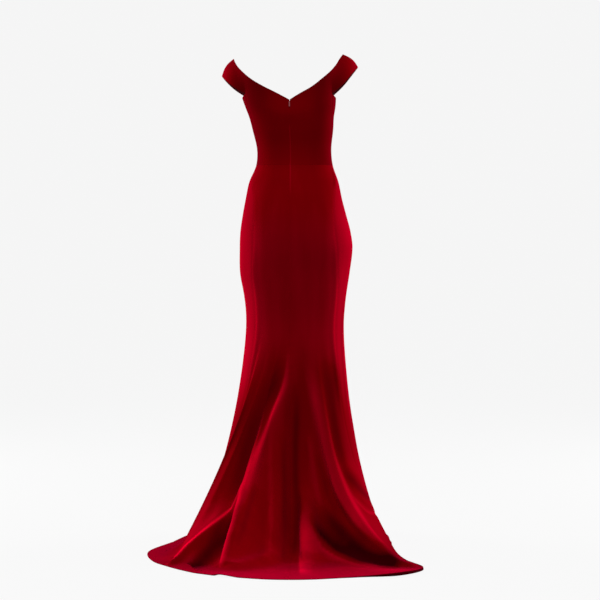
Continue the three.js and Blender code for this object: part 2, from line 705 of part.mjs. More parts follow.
function tapeGeometry(sections) {
  const points = [];
  for (const section of sections) {
    for (const depth of [CLOTH + TAPE.gap, CLOTH + TAPE.gap + TAPE.thick]) {
      for (const { point, normal } of section) points.push(point.clone().addScaledVector(normal, -depth));
    }
  }
  // Each section is a ring of six points: three outer from right to left, then three inner
  const ring = [0, 1, 2, 5, 4, 3];
  const triangles = [];
  for (let r = 0; r + 1 < sections.length; r += 1) {
    ring.forEach((from, n) => {
      const to = ring[(n + 1) % 6];
      const a = r * 6 + from;
      const b = r * 6 + to;
      triangles.push([a, b + 6, a + 6], [a, b, b + 6]);
    });
  }
  const cap = (base, turned) => {
    for (const [a, b, c] of [[0, 1, 4], [0, 4, 3], [1, 2, 5], [1, 5, 4]]) {
      triangles.push(turned ? [base + a, base + c, base + b] : [base + a, base + b, base + c]);
    }
  };
  cap(0, true);
  cap((sections.length - 1) * 6, false);
  return indexed(points, triangles);
}

const wasm = await Module();
wasm.setup();

function solidOf(geometry) {
  const bare = geometry.clone();
  for (const name of Object.keys(bare.attributes)) if (name !== "position") bare.deleteAttribute(name);
  const merged = mergeVertices(bare, 1e-4);
  return new wasm.Manifold(
    new wasm.Mesh({
      numProp: 3,
      vertProperties: new Float32Array(merged.getAttribute("position").array),
      triVerts: new Uint32Array(merged.index.array),
    }),
  );
}

function geometryOf(solid) {
  const mesh = solid.getMesh();
  const geometry = new THREE.BufferGeometry();
  geometry.setAttribute("position", new THREE.BufferAttribute(new Float32Array(mesh.vertProperties), 3));
  geometry.setIndex([...mesh.triVerts]);
  geometry.computeVertexNormals();
  return geometry;
}

const extruded = (shape, depth) => {
  return new THREE.ExtrudeGeometry(shape, { depth, bevelEnabled: false, curveSegments: ROUND_STEPS });
};

// A flat outline with thickness along X: the shape's x is Y and its y is Z
function sideways(shape, thick) {
  const geometry = extruded(shape, thick);
  geometry.translate(0, 0, -thick / 2);
  geometry.rotateX(Math.PI / 2);
  geometry.rotateZ(Math.PI / 2);
  return geometry;
}

// The slider's body lies behind the seam; its lug reaches out with a round eye for the pull's pin
function sliderGeometry(axis, face) {
  const back = face - CLOTH - SLIDER.gap;
  const body = new THREE.BoxGeometry(SLIDER.width, SLIDER.depth, SLIDER.height);
  body.translate(axis.x, back - SLIDER.depth / 2, SLIDER.low + SLIDER.height / 2);
  const inwards = back - LUG.sunk - axis.y;
  const shape = new THREE.Shape();
  shape.moveTo(inwards, -LUG.half);
  shape.lineTo(0, -LUG.half);
  shape.absarc(0, 0, LUG.half, -Math.PI / 2, Math.PI / 2, false);
  shape.lineTo(inwards, LUG.half);
  shape.closePath();
  const eye = new THREE.Path();
  eye.absarc(0, 0, LUG.hole, 0, Math.PI * 2, true);
  shape.holes.push(eye);
  const lug = sideways(shape, LUG.thick).translate(axis.x, axis.y, axis.z);
  return geometryOf(solidOf(body).add(solidOf(lug)));
}

// The pull is a flat drop with a slot at its top; its pin crosses the slot through the lug's eye
function pullGeometry(axis) {
  const half = PULL.width / 2;
  const slot = PULL.slot / 2;
  const tip = -PULL.length + PULL.crown;
  const shape = new THREE.Shape();
  shape.moveTo(slot, PULL.crown);
  shape.lineTo(slot, -PULL.notch);
  shape.lineTo(-slot, -PULL.notch);
  shape.lineTo(-slot, PULL.crown);
  shape.lineTo(-half + 2 * PULL.taper, PULL.crown);
  shape.lineTo(-half + PULL.taper, -PULL.notch);
  shape.lineTo(-half, tip + half);
  shape.absarc(0, tip + half, half, Math.PI, Math.PI * 2, false);
  shape.lineTo(half - PULL.taper, -PULL.notch);
  shape.lineTo(half - 2 * PULL.taper, PULL.crown);
  shape.closePath();
  const plate = extruded(shape, PULL.thick);
  plate.translate(0, 0, -PULL.thick / 2);
  plate.rotateX(Math.PI / 2);
  const pin = new THREE.CylinderGeometry(PULL.pin, PULL.pin, PULL.slot + 2 * PULL.pinSunk, ROUND_STEPS);
  pin.rotateZ(Math.PI / 2);
  return geometryOf(solidOf(plate).add(solidOf(pin))).translate(axis.x, axis.y, axis.z);
}

const material = (color, roughness, metalness) => {
  return new THREE.MeshStandardMaterial({ color, roughness, metalness });
};
const VELVET = material(0x8c0018, 0.85, 0);
const ZIP_TAPE = material(0x4a0008, 0.8, 0);
const ZIP_METAL = material(0x8a3a42, 0.45, 0.3);
const gown = new THREE.Group();

function place(name, geometry, finish) {
  const mesh = new THREE.Mesh(geometry, finish.clone());
  mesh.name = name;
  gown.add(mesh);
}

const bodice = buildBodice();
const bodiceNormals = bodice.normals();
for (const name of ["back_left", "side_left", "front", "side_right", "back_right"]) {
  const panel = `bodice_${name}`;
  place(panel, panelGeometry(bodice, bodiceNormals, panel), VELVET);
}
const skirt = buildSkirt();
const skirtNormals = skirt.normals();
for (const name of ["back_left", "side_left", "front", "side_right", "back_right"]) {
  const panel = `skirt_${name}`;
  place(panel, panelGeometry(skirt, skirtNormals, panel, FLOOR), VELVET);
}

const zipParts = [
  { cloth: bodice, normals: bodiceNormals },
  { cloth: skirt, normals: skirtNormals },
];
place("zip_tape", tapeGeometry(tapeSections(zipParts)), ZIP_TAPE);
const [upperSeam, lowerSeam] = [0, 1].map((r) => bodice.points[bodice.zipRows[r][1]]);
const seamAt = upperSeam.clone().lerp(lowerSeam, (upperSeam.z - LUG.up) / (upperSeam.z - lowerSeam.z));
const pullAxis = new THREE.Vector3(seamAt.x, seamAt.y + LUG.reach, LUG.up);
place("zip_slider", sliderGeometry(pullAxis, seamAt.y), ZIP_METAL);
place("zip_pull", pullGeometry(pullAxis), ZIP_METAL);

export default gown;
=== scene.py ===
import math

import bpy
import numpy as np
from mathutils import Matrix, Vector, kdtree


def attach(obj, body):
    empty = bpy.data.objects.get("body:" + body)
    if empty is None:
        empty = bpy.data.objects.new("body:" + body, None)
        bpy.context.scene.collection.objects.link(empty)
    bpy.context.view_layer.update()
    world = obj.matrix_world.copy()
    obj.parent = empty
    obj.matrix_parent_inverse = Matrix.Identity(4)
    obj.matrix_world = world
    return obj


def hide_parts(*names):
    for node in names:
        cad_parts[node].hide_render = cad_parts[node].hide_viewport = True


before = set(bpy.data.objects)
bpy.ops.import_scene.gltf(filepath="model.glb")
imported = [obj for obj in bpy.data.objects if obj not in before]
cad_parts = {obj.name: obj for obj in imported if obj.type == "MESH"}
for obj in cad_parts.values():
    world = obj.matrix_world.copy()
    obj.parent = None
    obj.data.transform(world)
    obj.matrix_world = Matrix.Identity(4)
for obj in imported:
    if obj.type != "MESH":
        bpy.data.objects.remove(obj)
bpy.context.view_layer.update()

# Bodice: five panels of crimson stretch velvet, the two backs and the front cut in one with the wide
# off-shoulder bands. They are seamed at the sides of the back and of the front, on top of the bands and
# down the centre back, where the zip is let in, and the V and the bands have turned edges. Sizes are in
# mm from the waist seam: x to the left of the photo, y to the back and z up.
CLOTH = 1.6
SEAM_GAP = 0.3
SHOULDER_MIDDLE = 17
TUBE_TOP_MIDDLE = 150
TUBE_TOP_CORNER = 217
TUBE_TOP_CURVE = 1.5
ARMHOLE_SCOOP = 10
CUP = {"out": 84, "z": 156, "radius": 56, "depth": 13, "steep": 1.4}

# Cross sections of the body of the gown: height over the waist seam, middle, half width, depth of the
# back and of the front, and fullness of the corners
SECTIONS = np.array([
    # z, x, half, back, front, square
    (-513, -1, 151, 84, 84, 2.1),
    (-457, -2, 152, 86, 86, 2.1),
    (-404, -2, 158, 92, 90, 2.1),
    (-332, -1, 170, 102, 96, 2.1),
    (-255, -5, 175, 115, 100, 2.2),
    (-205, -3, 171, 120, 104, 2.2),
    (-155, 0, 161, 118, 107, 2.2),
    (-106, 2, 150, 108, 107, 2.2),
    (-50, 2, 138, 91, 103, 2.2),
    (0, 0, 119, 77, 97, 2.2),
    (50, 1, 115, 76, 97, 2.3),
    (112, 5, 125, 86, 116, 2.4),
    (149, 9, 131, 92, 130, 2.5),
    (183, 13, 140, 95, 130, 2.6),
    (217, 18, 147, 95, 119, 2.6),
    (230, 20, 150, 94, 112, 2.6),
])

# Seams round the gown as angles from the centre back, growing toward the left of the photo
SEAMS = np.array([
    # z, centre back, back left, front left, front right, back right
    (-513, 5.6, 49, 130, 230, 310),
    (-404, 5.2, 49, 131, 229, 308),
    (-230, 4.9, 46, 133, 227, 318),
    (-106, 4.8, 53, 126, 234, 307),
    (-40, 4.8, 71, 109, 251, 289),
    (0, 4.8, 77, 106, 254, 283),
    (112, 2.6, 70, 112, 248, 290),
    (217, 0, 61, 117, 243, 299),
    (230, 0, 61, 117, 243, 299),
])

# The neckline from the centre back over the tip of the band to the centre front: out from the middle,
# y and z
NECKLINE = {
    "left": [
        (-2, 91, 196),
        (38, 94, 217),
        (77, 95, 236),
        (116, 86, 259),
        (136, 74, 276),
        (153, 53, 295),
        (165, 29, 314),
        (171, 0, 330),
        (165, -31, 314),
        (152, -58, 294),
        (134, -80, 272),
        (108, -98, 250),
        (74, -112, 227),
        (38, -120, 206),
        (-3, -121, 188),
    ],
    "right": [
        (2, 91, 196),
        (31, 94, 214),
        (70, 95, 236),
        (109, 86, 267),
        (129, 74, 285),
        (144, 53, 305),
        (155, 29, 326),
        (167, 0, 344),
        (156, -31, 326),
        (144, -58, 304),
        (128, -80, 280),
        (102, -98, 256),
        (70, -112, 231),
        (34, -120, 207),
        (3, -121, 188),
    ],
}
NECK_CORNER, NECK_TIP, NECK_FRONT_CORNER = 4, 7, 10

# The lower edge of each band, from the armhole's back corner round to its front corner
BAND_EDGE = {
    "left": [(170, 46, 239), (193, 29, 259), (208, 0, 276), (194, -31, 260), (170, -52, 239)],
    "right": [(169, 46, 250), (195, 28, 282), (214, 0, 304), (196, -30, 282), (169, -52, 250)],
}
BAND_TIP = 3


def smooth(places, values, at):
    """The curve through values at rising places, with the slope at each place from its neighbours."""
    places = np.asarray(places, float)
    values = np.asarray(values, float)
    x = np.clip(at, places[0], places[-1])
    i = np.clip(np.searchsorted(places, x) - 1, 0, len(places) - 2)
    before = np.maximum(np.arange(len(places)) - 1, 0)
    after = np.minimum(np.arange(len(places)) + 1, len(places) - 1)
    slope = (values[after] - values[before]) / (places[after] - places[before])
    step = places[i + 1] - places[i]
    t = (x - places[i]) / step
    return (
        (2 * t**3 - 3 * t**2 + 1) * values[i]
        + (t**3 - 2 * t**2 + t) * step * slope[i]
        + (3 * t**2 - 2 * t**3) * values[i + 1]
        + (t**3 - t**2) * step * slope[i + 1]
    )


def mix(a, b, t):
    return a + (b - a) * t


def ease(t):
    """From 0 to 1 with level ends."""
    t = np.clip(t, 0, 1)
    return t * t * (3 - 2 * t)


def seam_angle(k, z):
    """The angle of seam k, 0 to 5, at height z. Seam 5 is the centre back after a full turn."""
    return smooth(SEAMS[:, 0], SEAMS[:, 1 + k % 5], z) + (360 if k == 5 else 0)


def tube_point(angle, z):
    """The points of the worn tube at these angles and heights."""
    c = np.cos(np.radians(angle))
    s = np.sin(np.radians(angle))
    middle, half, back, front, square = (smooth(SECTIONS[:, 0], SECTIONS[:, k], z) for k in range(1, 6))
    power = 2 / square
    x = middle + half * np.sign(s) * np.abs(s) ** power
    y = np.where(c > 0, back, front) * np.sign(c) * np.abs(c) ** power
    for side in (-1, 1):
        far = ((x - middle - side * CUP["out"]) ** 2 + (z - CUP["z"]) ** 2) / CUP["radius"] ** 2
        y = y - np.where(c < 0, CUP["depth"] * np.exp(-far * CUP["steep"]) * np.abs(c), 0)
    return np.stack(np.broadcast_arrays(x, y, z), -1)


class Cloth:
    """A pool of points, and the four-cornered faces of each panel."""

    def __init__(self):
        self.points = np.zeros((0, 3))
        self.faces = {}

    def add(self, points):
        """Adds a grid of points and gives their numbers in the same shape."""
        flat = points.reshape(-1, 3)
        numbers = np.arange(len(flat)) + len(self.points)
        self.points = np.vstack([self.points, flat])
        return numbers.reshape(points.shape[:-1])

    def grid(self, panel, rows):
        """Faces of a panel; rows run down and columns to growing angles."""
        quads = np.stack([rows[:-1, :-1], rows[:-1, 1:], rows[1:, 1:], rows[1:, :-1]], -1).reshape(-1, 4)
        self.faces.setdefault(panel, []).append(quads)

    def quads(self, panel=None):
        panels = self.faces if panel is None else [panel]
        return np.vstack([q for name in panels for q in self.faces[name]])

    def normals(self):
        quads = self.quads()
        a, b, c, d = (self.points[quads[:, k]] for k in range(4))
        face = np.cross(c - a, d - b)
        out = np.zeros_like(self.points)
        for k in range(4):
            np.add.at(out, quads[:, k], face)
        return out / np.maximum(np.linalg.norm(out, axis=1), 1e-9)[:, None]

    def shared(self):
        """The numbers of the points that lie on a seam between two panels."""
        count = np.zeros(len(self.points), int)
        for panel in self.faces:
            count[np.unique(self.quads(panel))] += 1
        return np.nonzero(count > 1)[0]


def space_curve(points):
    """A smooth curve through points in space by the distance along them."""
    points = np.asarray(points, float)
    places = np.concatenate([[0], np.cumsum(np.linalg.norm(np.diff(points, axis=0), axis=1))])
    return places, lambda at: np.stack([smooth(places, points[:, k], at) for k in range(3)], -1)


def tube_top(angle):
    """The height of the tube's top: low at both centres, high at the armhole's corners, scooped between."""
    back = seam_angle(1, TUBE_TOP_CORNER)
    front = seam_angle(2, TUBE_TOP_CORNER)
    turned = np.mod(angle, 360)
    folded = np.where(turned > 180, 360 - turned, turned)
    toward_back_corner = np.clip(folded / back, 0, 1) ** TUBE_TOP_CURVE
    toward_front_corner = np.clip((180 - folded) / (180 - front), 0, 1) ** TUBE_TOP_CURVE
    at_back = mix(TUBE_TOP_MIDDLE, TUBE_TOP_CORNER, toward_back_corner)
    at_front = mix(TUBE_TOP_MIDDLE, TUBE_TOP_CORNER, toward_front_corner)
    past_corner = np.clip((folded - back) / (front - back), 0, 1)
    under_arm = TUBE_TOP_CORNER - ARMHOLE_SCOOP * np.sin(np.pi * past_corner)
    return np.where(folded < back, at_back, np.where(folded > front, at_front, under_arm))


def toward_ends(count):
    """Shares from 0 to 1 that lie closer together at both ends, where the seams are."""
    t = np.arange(count) / count
    return t - 0.5 * np.sin(2 * np.pi * t) / (2 * np.pi)


BACK_COLUMNS, SIDE_COLUMNS, HALF_FRONT, BAND_COLUMNS = 64, 26, 60, 84
TUBE_ROWS, PATCH_ROWS = 92, 56

bodice = Cloth()
panel_counts = [BACK_COLUMNS, SIDE_COLUMNS, 2 * HALF_FRONT, SIDE_COLUMNS, BACK_COLUMNS]
panel_of = np.repeat(np.arange(len(panel_counts)), panel_counts)
share_of = np.concatenate([toward_ends(count) for count in panel_counts])


def bodice_points(up):
    """One row of the bodice's tube, from the waist, 0, to its top, 1."""
    top = np.array([
        mix(seam_angle(k, TUBE_TOP_CORNER), seam_angle(k + 1, TUBE_TOP_CORNER), share)
        for k, share in zip(panel_of, share_of)
    ])
    z = mix(SEAM_GAP / 2, tube_top(top), up)
    angle = np.array([
        mix(seam_angle(k, height), seam_angle(k + 1, height), share)
        for k, share, height in zip(panel_of, share_of, z)
    ])
    return tube_point(angle, z)


ups = 1 - np.arange(TUBE_ROWS + 1) / TUBE_ROWS
tube_rows = bodice.add(np.stack([bodice_points(up) for up in ups]))
starts = np.concatenate([[0], np.cumsum(panel_counts)])
wrapped = np.hstack([tube_rows, tube_rows[:, :1]])
BODICE_PANELS = [
    "bodice_back_left",
    "bodice_side_left",
    "bodice_front",
    "bodice_side_right",
    "bodice_back_right",
]
for k, panel in enumerate(BODICE_PANELS):
    bodice.grid(panel, wrapped[:, starts[k] : starts[k + 1] + 1])

# Above the tube the cloth first goes on in the direction that it has there, taken from a row a ninth of
# the tube lower. Nearer to the armhole's corners, within the corner share, it goes straight to the
# neckline. The bands swell outward by their crown.
BELOW_TOP = bodice_points(8 / 9)
CORNER_SHARE = 0.45
FOLLOWING = 0.35
BAND_CROWN = 7
CROWN_AIM = {"aside": 0.8, "back": 1 / 160, "up": 0.6}
CORNER_FADE = 1.3


def soften(line, middle, share, reach=16, spread=45):
    """Rounds a line of points near its middle one, by averages over the reach in mm."""
    at = np.concatenate([[0], np.cumsum(np.linalg.norm(np.diff(line, axis=0), axis=1))])
    weights = np.exp(-(((at[:, None] - at) / reach) ** 2)) * np.gradient(at)
    weights /= weights.sum(axis=1)[:, None]
    near = share * np.exp(-(((at - at[middle]) / spread) ** 4))
    return mix(line, weights @ line, near[:, None])


def upper_side(name, side, centre_back=None, centre_front=None):
    """The patch of one side, from the neckline down to the tube's top and the band's lower edge."""
    top = wrapped[0]
    neck_places, neck = space_curve([(SHOULDER_MIDDLE + side * out, y, z) for out, y, z in NECKLINE[name]])
    back = np.arange(BACK_COLUMNS + 1) if side > 0 else len(top) - 1 - np.arange(BACK_COLUMNS + 1)
    first = starts[2] if side > 0 else starts[3]
    front = first + side * np.arange(HALF_FRONT + 1)
    back_low = bodice.points[top[back]]
    front_low = bodice.points[top[front]]
    edge_table = [(SHOULDER_MIDDLE + side * out, y, z) for out, y, z in BAND_EDGE[name]]
    edge_places, edge = space_curve([back_low[-1], *edge_table, front_low[0]])
    corner, tip, front_corner = (neck_places[k] for k in (NECK_CORNER, NECK_TIP, NECK_FRONT_CORNER))
    band = toward_ends(BAND_COLUMNS)
    back_share = np.append(toward_ends(BACK_COLUMNS), 1)
    front_share = np.append(toward_ends(2 * HALF_FRONT)[: HALF_FRONT], 0.5) * 2
    low = np.vstack([
        back_low,
        edge(edge_places[BAND_TIP] * band[1:]),
        edge(mix(edge_places[BAND_TIP], edge_places[-1], band)),
        front_low,
    ])
    high = np.vstack([
        neck(corner * back_share),
        neck(mix(corner, tip, band[1:])),
        neck(mix(tip, front_corner, band)),
        neck(mix(front_corner, neck_places[-1], front_share)),
    ])
    straight = high - low
    rise = straight.copy()
    back_part = (slice(0, len(back)), back, 1 - back_share)
    front_part = (slice(-len(front), None), front, front_share)
    for columns, numbers, from_corner in (back_part, front_part):
        way = low[columns] - BELOW_TOP[numbers % len(BELOW_TOP)]
        way *= (np.linalg.norm(straight[columns], axis=1) / np.linalg.norm(way, axis=1))[:, None]
        at_corner = 1 - ease(from_corner / CORNER_SHARE)
        rise[columns] = mix(way, straight[columns], mix(FOLLOWING, 1, at_corner)[:, None])
    band_share = np.concatenate([np.zeros(len(back)), band[1:] / 2, 0.5 + band / 2, np.ones(len(front))])
    aside = np.full(len(low), side * CROWN_AIM["aside"])
    up = np.full(len(low), CROWN_AIM["up"])
    outwards = np.stack([aside, low[:, 1] * CROWN_AIM["back"], up], -1)
    outwards /= np.linalg.norm(outwards, axis=1)[:, None]
    t = (1 - np.arange(PATCH_ROWS + 1) / PATCH_ROWS)[:, None, None]
    points = (
        (2 * t**3 - 3 * t**2 + 1) * low
        + (t**3 - 2 * t**2 + t) * rise
        + (3 * t**2 - 2 * t**3) * high
        + (t**3 - t**2) * straight
        + BAND_CROWN * np.sin(np.pi * band_share)[:, None] * np.sin(np.pi * t) * outwards
    )
    for row in range(PATCH_ROWS):
        share = ease(CORNER_FADE * (1 - row / PATCH_ROWS))
        for corner_column in (len(back) - 1, len(low) - len(front)):
            points[row] = soften(points[row], corner_column, share)
    rows = bodice.add(points)
    rows[-1, : len(back)] = top[back]
    rows[-1, -len(front) :] = top[front]
    if centre_back is not None:
        rows[:, 0] = centre_back
        rows[:, -1] = centre_front
    shoulder = BACK_COLUMNS + BAND_COLUMNS
    bodice.grid(f"bodice_back_{name}", rows[:, : shoulder + 1][:, ::side])
    bodice.grid("bodice_front", rows[:, shoulder:][:, ::side])
    return rows


left_rows = upper_side("left", 1)
right_rows = upper_side("right", -1, left_rows[:, 0], left_rows[:, -1])


def linear(hex_colour):
    """An sRGB hex colour as linear red, green, blue and alpha."""
    parts = [int(hex_colour[k : k + 2], 16) / 255 for k in (1, 3, 5)]
    return [p / 12.92 if p <= 0.04045 else ((p + 0.055) / 1.055) ** 2.4 for p in parts] + [1]


def add(tree, kind, links=(), **settings):
    """Adds a node, sets its sockets or properties, and links (socket, from output) pairs into it."""
    node = tree.nodes.new(kind)
    for name, value in settings.items():
        socket = name.replace("_", " ")
        if socket in node.inputs:
            node.inputs[socket].default_value = value
        else:
            setattr(node, name, value)
    for socket, source in links:
        tree.links.new(source, node.inputs[socket])
    return node


def ramp(tree, fac, stops):
    """A colour ramp through (place, hex colour) stops."""
    node = add(tree, "ShaderNodeValToRGB", [("Fac", fac)])
    while len(node.color_ramp.elements) < len(stops):
        node.color_ramp.elements.new(0.5)
    for element, (place, colour) in zip(node.color_ramp.elements, stops):
        element.position = place
        element.color = linear(colour)
    return node.outputs["Color"]


# The velvet's colours from the deepest painted shade, 0, over its own colour, 0.5, to the brightest
# painted highlight, 1
PAINTED_LIGHT_COLOURS = [(0, "#2c0001"), (0.5, "#760004"), (0.7, "#9a0015"), (1, "#dc0024")]


def velvet():
    """Crimson velvet with light and shade painted into its colour: painted shade takes it down to almost
    black-red and painted highlights up to crimson. Slow streaks, 50 mm wide and 400 mm long, are where
    the velvet was brushed. The tufts are drawn 1.6 mm apart, coarser than real ones, so that they show."""
    finish = bpy.data.materials.new("crimson pile velvet")
    finish.use_nodes = True
    tree = finish.node_tree
    shader = tree.nodes["Principled BSDF"]
    place = add(tree, "ShaderNodeTexCoord").outputs["Object"]
    long = add(tree, "ShaderNodeMapping", [("Vector", place)], Scale=(1 / 0.05, 1 / 0.05, 1 / 0.4))
    brushed = add(tree, "ShaderNodeTexNoise", [("Vector", long.outputs["Vector"])], Scale=1, Detail=3)
    streaks = add(tree, "ShaderNodeMapRange", [("Value", brushed.outputs["Fac"])], From_Min=0.3, From_Max=0.7)
    streaks.inputs["To Min"].default_value = 0.46
    streaks.inputs["To Max"].default_value = 0.53
    # The painted light and shade of each point, from -1 to 1, moves the colour along the ramp
    painted_light_layer = add(tree, "ShaderNodeAttribute", attribute_name="painted_light").outputs["Fac"]
    state = add(tree, "ShaderNodeMath", operation="MULTIPLY_ADD")
    tree.links.new(painted_light_layer, state.inputs[0])
    state.inputs[1].default_value = 0.5
    tree.links.new(streaks.outputs["Result"], state.inputs[2])
    tree.links.new(ramp(tree, state.outputs[0], PAINTED_LIGHT_COLOURS), shader.inputs["Base Color"])
    tufts = add(tree, "ShaderNodeTexNoise", [("Vector", place)], Scale=1 / 0.0016, Detail=2)
    bump = add(tree, "ShaderNodeBump", [("Height", tufts.outputs["Fac"])], Strength=0.35, Distance=0.0005)
    tree.links.new(bump.outputs["Normal"], shader.inputs["Normal"])
    shader.inputs["Roughness"].default_value = 0.85
    shader.inputs["Specular IOR Level"].default_value = 0
    shader.inputs["Sheen Weight"].default_value = 0.2
    shader.inputs["Sheen Roughness"].default_value = 0.42
    shader.inputs["Sheen Tint"].default_value = linear("#ff0058")
    return finish


VELVET = velvet()

# The woven back of the velvet, dull and darker, which shows inside the neck and the armholes
GROUND = bpy.data.materials.new("woven velvet ground")
GROUND.use_nodes = True
ground = GROUND.node_tree.nodes["Principled BSDF"]
ground.inputs["Base Color"].default_value = linear("#3a0006")
ground.inputs["Roughness"].default_value = 0.9
ground.inputs["Specular IOR Level"].default_value = 0.1

# Stitching draws the cloth in along each seam, by this depth over this width on either side
SEAM_DEPTH, SEAM_WIDTH = 0.8, 2.4


def groove(cloth, points, normals, depth, width):
    """Sinks the cloth along the seams, where the stitching draws it in."""
    seam = cloth.shared()
    tree = kdtree.KDTree(len(seam))
    for k, p in enumerate(points[seam]):
        tree.insert(p, k)
    tree.balance()
    far = np.array([tree.find(p)[2] for p in points])
    return points - normals * (depth * np.exp(-((far / width) ** 2)))[:, None]


# Each panel's edge stands back from its seam by a hair, and by more round the slider's lug, which comes
# out through the seam under the point of the neck.
SEAM_HAIR = 0.005
LUG_X = 15.3521
ZIP_TOP = 183
LUG_PARTING = 0.875
LUG_REACH = 6


def panel_object(cloth, points, normals, panel, painted_light, lowest=None):
    """One panel as a thin cloth: velvet outside, woven ground inside, edges drawn back from the seams.
    Gives the piece and the area of its cloth in square metres."""
    quads = cloth.quads(panel)
    used, flat = np.unique(quads, return_inverse=True)
    quads = flat.reshape(-1, 4)
    shape = points[used].copy()
    mid = shape[quads].mean(axis=1)
    pull = np.zeros_like(shape)
    for k in range(4):
        np.add.at(pull, quads[:, k], mid - shape[quads[:, k]])
    on_seam = np.isin(used, cloth.shared())
    normal = normals[used]
    pull -= normal * (pull * normal).sum(axis=1)[:, None]
    pull /= np.maximum(np.linalg.norm(pull, axis=1), 1e-9)[:, None]
    at_lug = (np.abs(shape[:, 0] - LUG_X) < LUG_REACH) & (shape[:, 1] > 0) & (shape[:, 2] > ZIP_TOP)
    shape[on_seam] += pull[on_seam] * np.where(at_lug, LUG_PARTING, SEAM_HAIR)[on_seam, None]
    inner = shape - normal * CLOTH
    if lowest is not None:
        inner[:, 2] = np.maximum(inner[:, 2], lowest)
    count = len(shape)
    edges = {}
    for a, b, c, d in quads.tolist():
        for e in ((a, b), (b, c), (c, d), (d, a)):
            if (e[1], e[0]) in edges:
                del edges[(e[1], e[0])]
            else:
                edges[e] = True
    lining = [(a + count, d + count, c + count, b + count) for a, b, c, d in quads.tolist()]
    rim = [(b, a, a + count, b + count) for a, b in edges]
    faces = quads.tolist() + lining + rim
    mesh = bpy.data.meshes.new(panel)
    mesh.from_pydata((np.vstack([shape, inner]) / 1000).tolist(), [], faces)
    mesh.materials.append(VELVET)
    mesh.materials.append(GROUND)
    mesh.polygons.foreach_set("material_index", [0] * len(quads) + [1] * len(lining) + [0] * len(rim))
    mesh.polygons.foreach_set("use_smooth", [True] * len(faces))
    sharp = mesh.attributes.new("sharp_edge", "BOOLEAN", "EDGE")
    rims = set(edges) | {(b, a) for a, b in edges}
    keys = np.empty(len(mesh.edges) * 2, int)
    mesh.edges.foreach_get("vertices", keys)
    pairs = keys.reshape(-1, 2).tolist()
    sharp.data.foreach_set(
        "value", [(a % count, b % count) in rims and (a < count) == (b < count) for a, b in pairs]
    )
    # Each point carries its painted light and shade, outside and inside alike
    painted_light_layer = mesh.attributes.new("painted_light", "FLOAT", "POINT")
    painted_light_layer.data.foreach_set("value", np.tile(painted_light[used], 2))
    mesh.update()
    piece = bpy.data.objects.new(panel + "_cloth", mesh)
    bpy.context.collection.objects.link(piece)
    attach(piece, "gown")
    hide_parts(panel)
    a, b, c, d = (shape[quads[:, k]] for k in range(4))
    halves = np.vstack([np.cross(b - a, d - a), np.cross(b - c, d - c)])
    return piece, float(np.linalg.norm(halves, axis=1).sum() / 2e6)


bodice_normals = bodice.normals()
bodice_worn = groove(bodice, bodice.points, bodice_normals, SEAM_DEPTH, SEAM_WIDTH)

# A painted highlight along the closed zip shows the seam as a fine lighter line between these heights
ZIP_GLEAM, ZIP_GLEAM_WIDTH = 0.32, 1.5
ZIP_GLEAM_FOOT, ZIP_GLEAM_FOOT_FADE = -110, 70
ZIP_GLEAM_TOP, ZIP_GLEAM_TOP_FADE = 130, 20
zip_numbers = np.unique(np.concatenate([left_rows[:, 0], wrapped[:, 0]]))
zip_line = bodice.points[zip_numbers]
zip_line = zip_line[np.argsort(zip_line[:, 2])]


def zip_gleam(points):
    """How much painted highlight the closed zip's seam gets at these points."""
    z = points[:, 2]
    middle = np.interp(z, zip_line[:, 2], zip_line[:, 0])
    shown = ease((z - ZIP_GLEAM_FOOT) / ZIP_GLEAM_FOOT_FADE) * ease((ZIP_GLEAM_TOP - z) / ZIP_GLEAM_TOP_FADE)
    near = np.exp(-(((points[:, 0] - middle) / ZIP_GLEAM_WIDTH) ** 2))
    return ZIP_GLEAM * shown * (points[:, 1] > 0) * near


# Painted shade darkens the back a little, more so toward its sides, and a painted highlight lightens the
# ends of the bands
BACK_PAINTED_SHADE = -0.08
FLANK_PAINTED_SHADE, FLANK_START, FLANK_FADE = -0.3, 60, 50
BAND_PAINTED_HIGHLIGHT, BAND_START, BAND_FADE = 0.5, 155, 45
aside = np.abs(bodice.points[:, 0] - SHOULDER_MIDDLE)
bodice_painted_light = BACK_PAINTED_SHADE + FLANK_PAINTED_SHADE * ease((aside - FLANK_START) / FLANK_FADE)
bodice_painted_light += BAND_PAINTED_HIGHLIGHT * ease((aside - BAND_START) / BAND_FADE) + zip_gleam(bodice.points)

for k, panel in enumerate(BODICE_PANELS):
    piece, area = panel_object(bodice, bodice_worn, bodice_normals, panel, bodice_painted_light)
    below = wrapped[:, starts[k] : starts[k + 1] + 1]
    if "side" in panel:
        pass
    elif "back" in panel:
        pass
    else:
        halves = [rows[:, BACK_COLUMNS + BAND_COLUMNS :] for rows in (left_rows, right_rows)]
        half = np.vstack([halves[0][:, BAND_COLUMNS:], below[1:, : HALF_FRONT + 1]])

# Skirt: five panels of the same velvet, sewn to the bodice at the waist and to each other at the centre
# back, the sides of the back and the sides of the front. They fit to the knee, flare from there, and the
# two back panels run out into the train that lies on the floor. The hem is turned up.
FLOOR = -1161
KNEE = -513

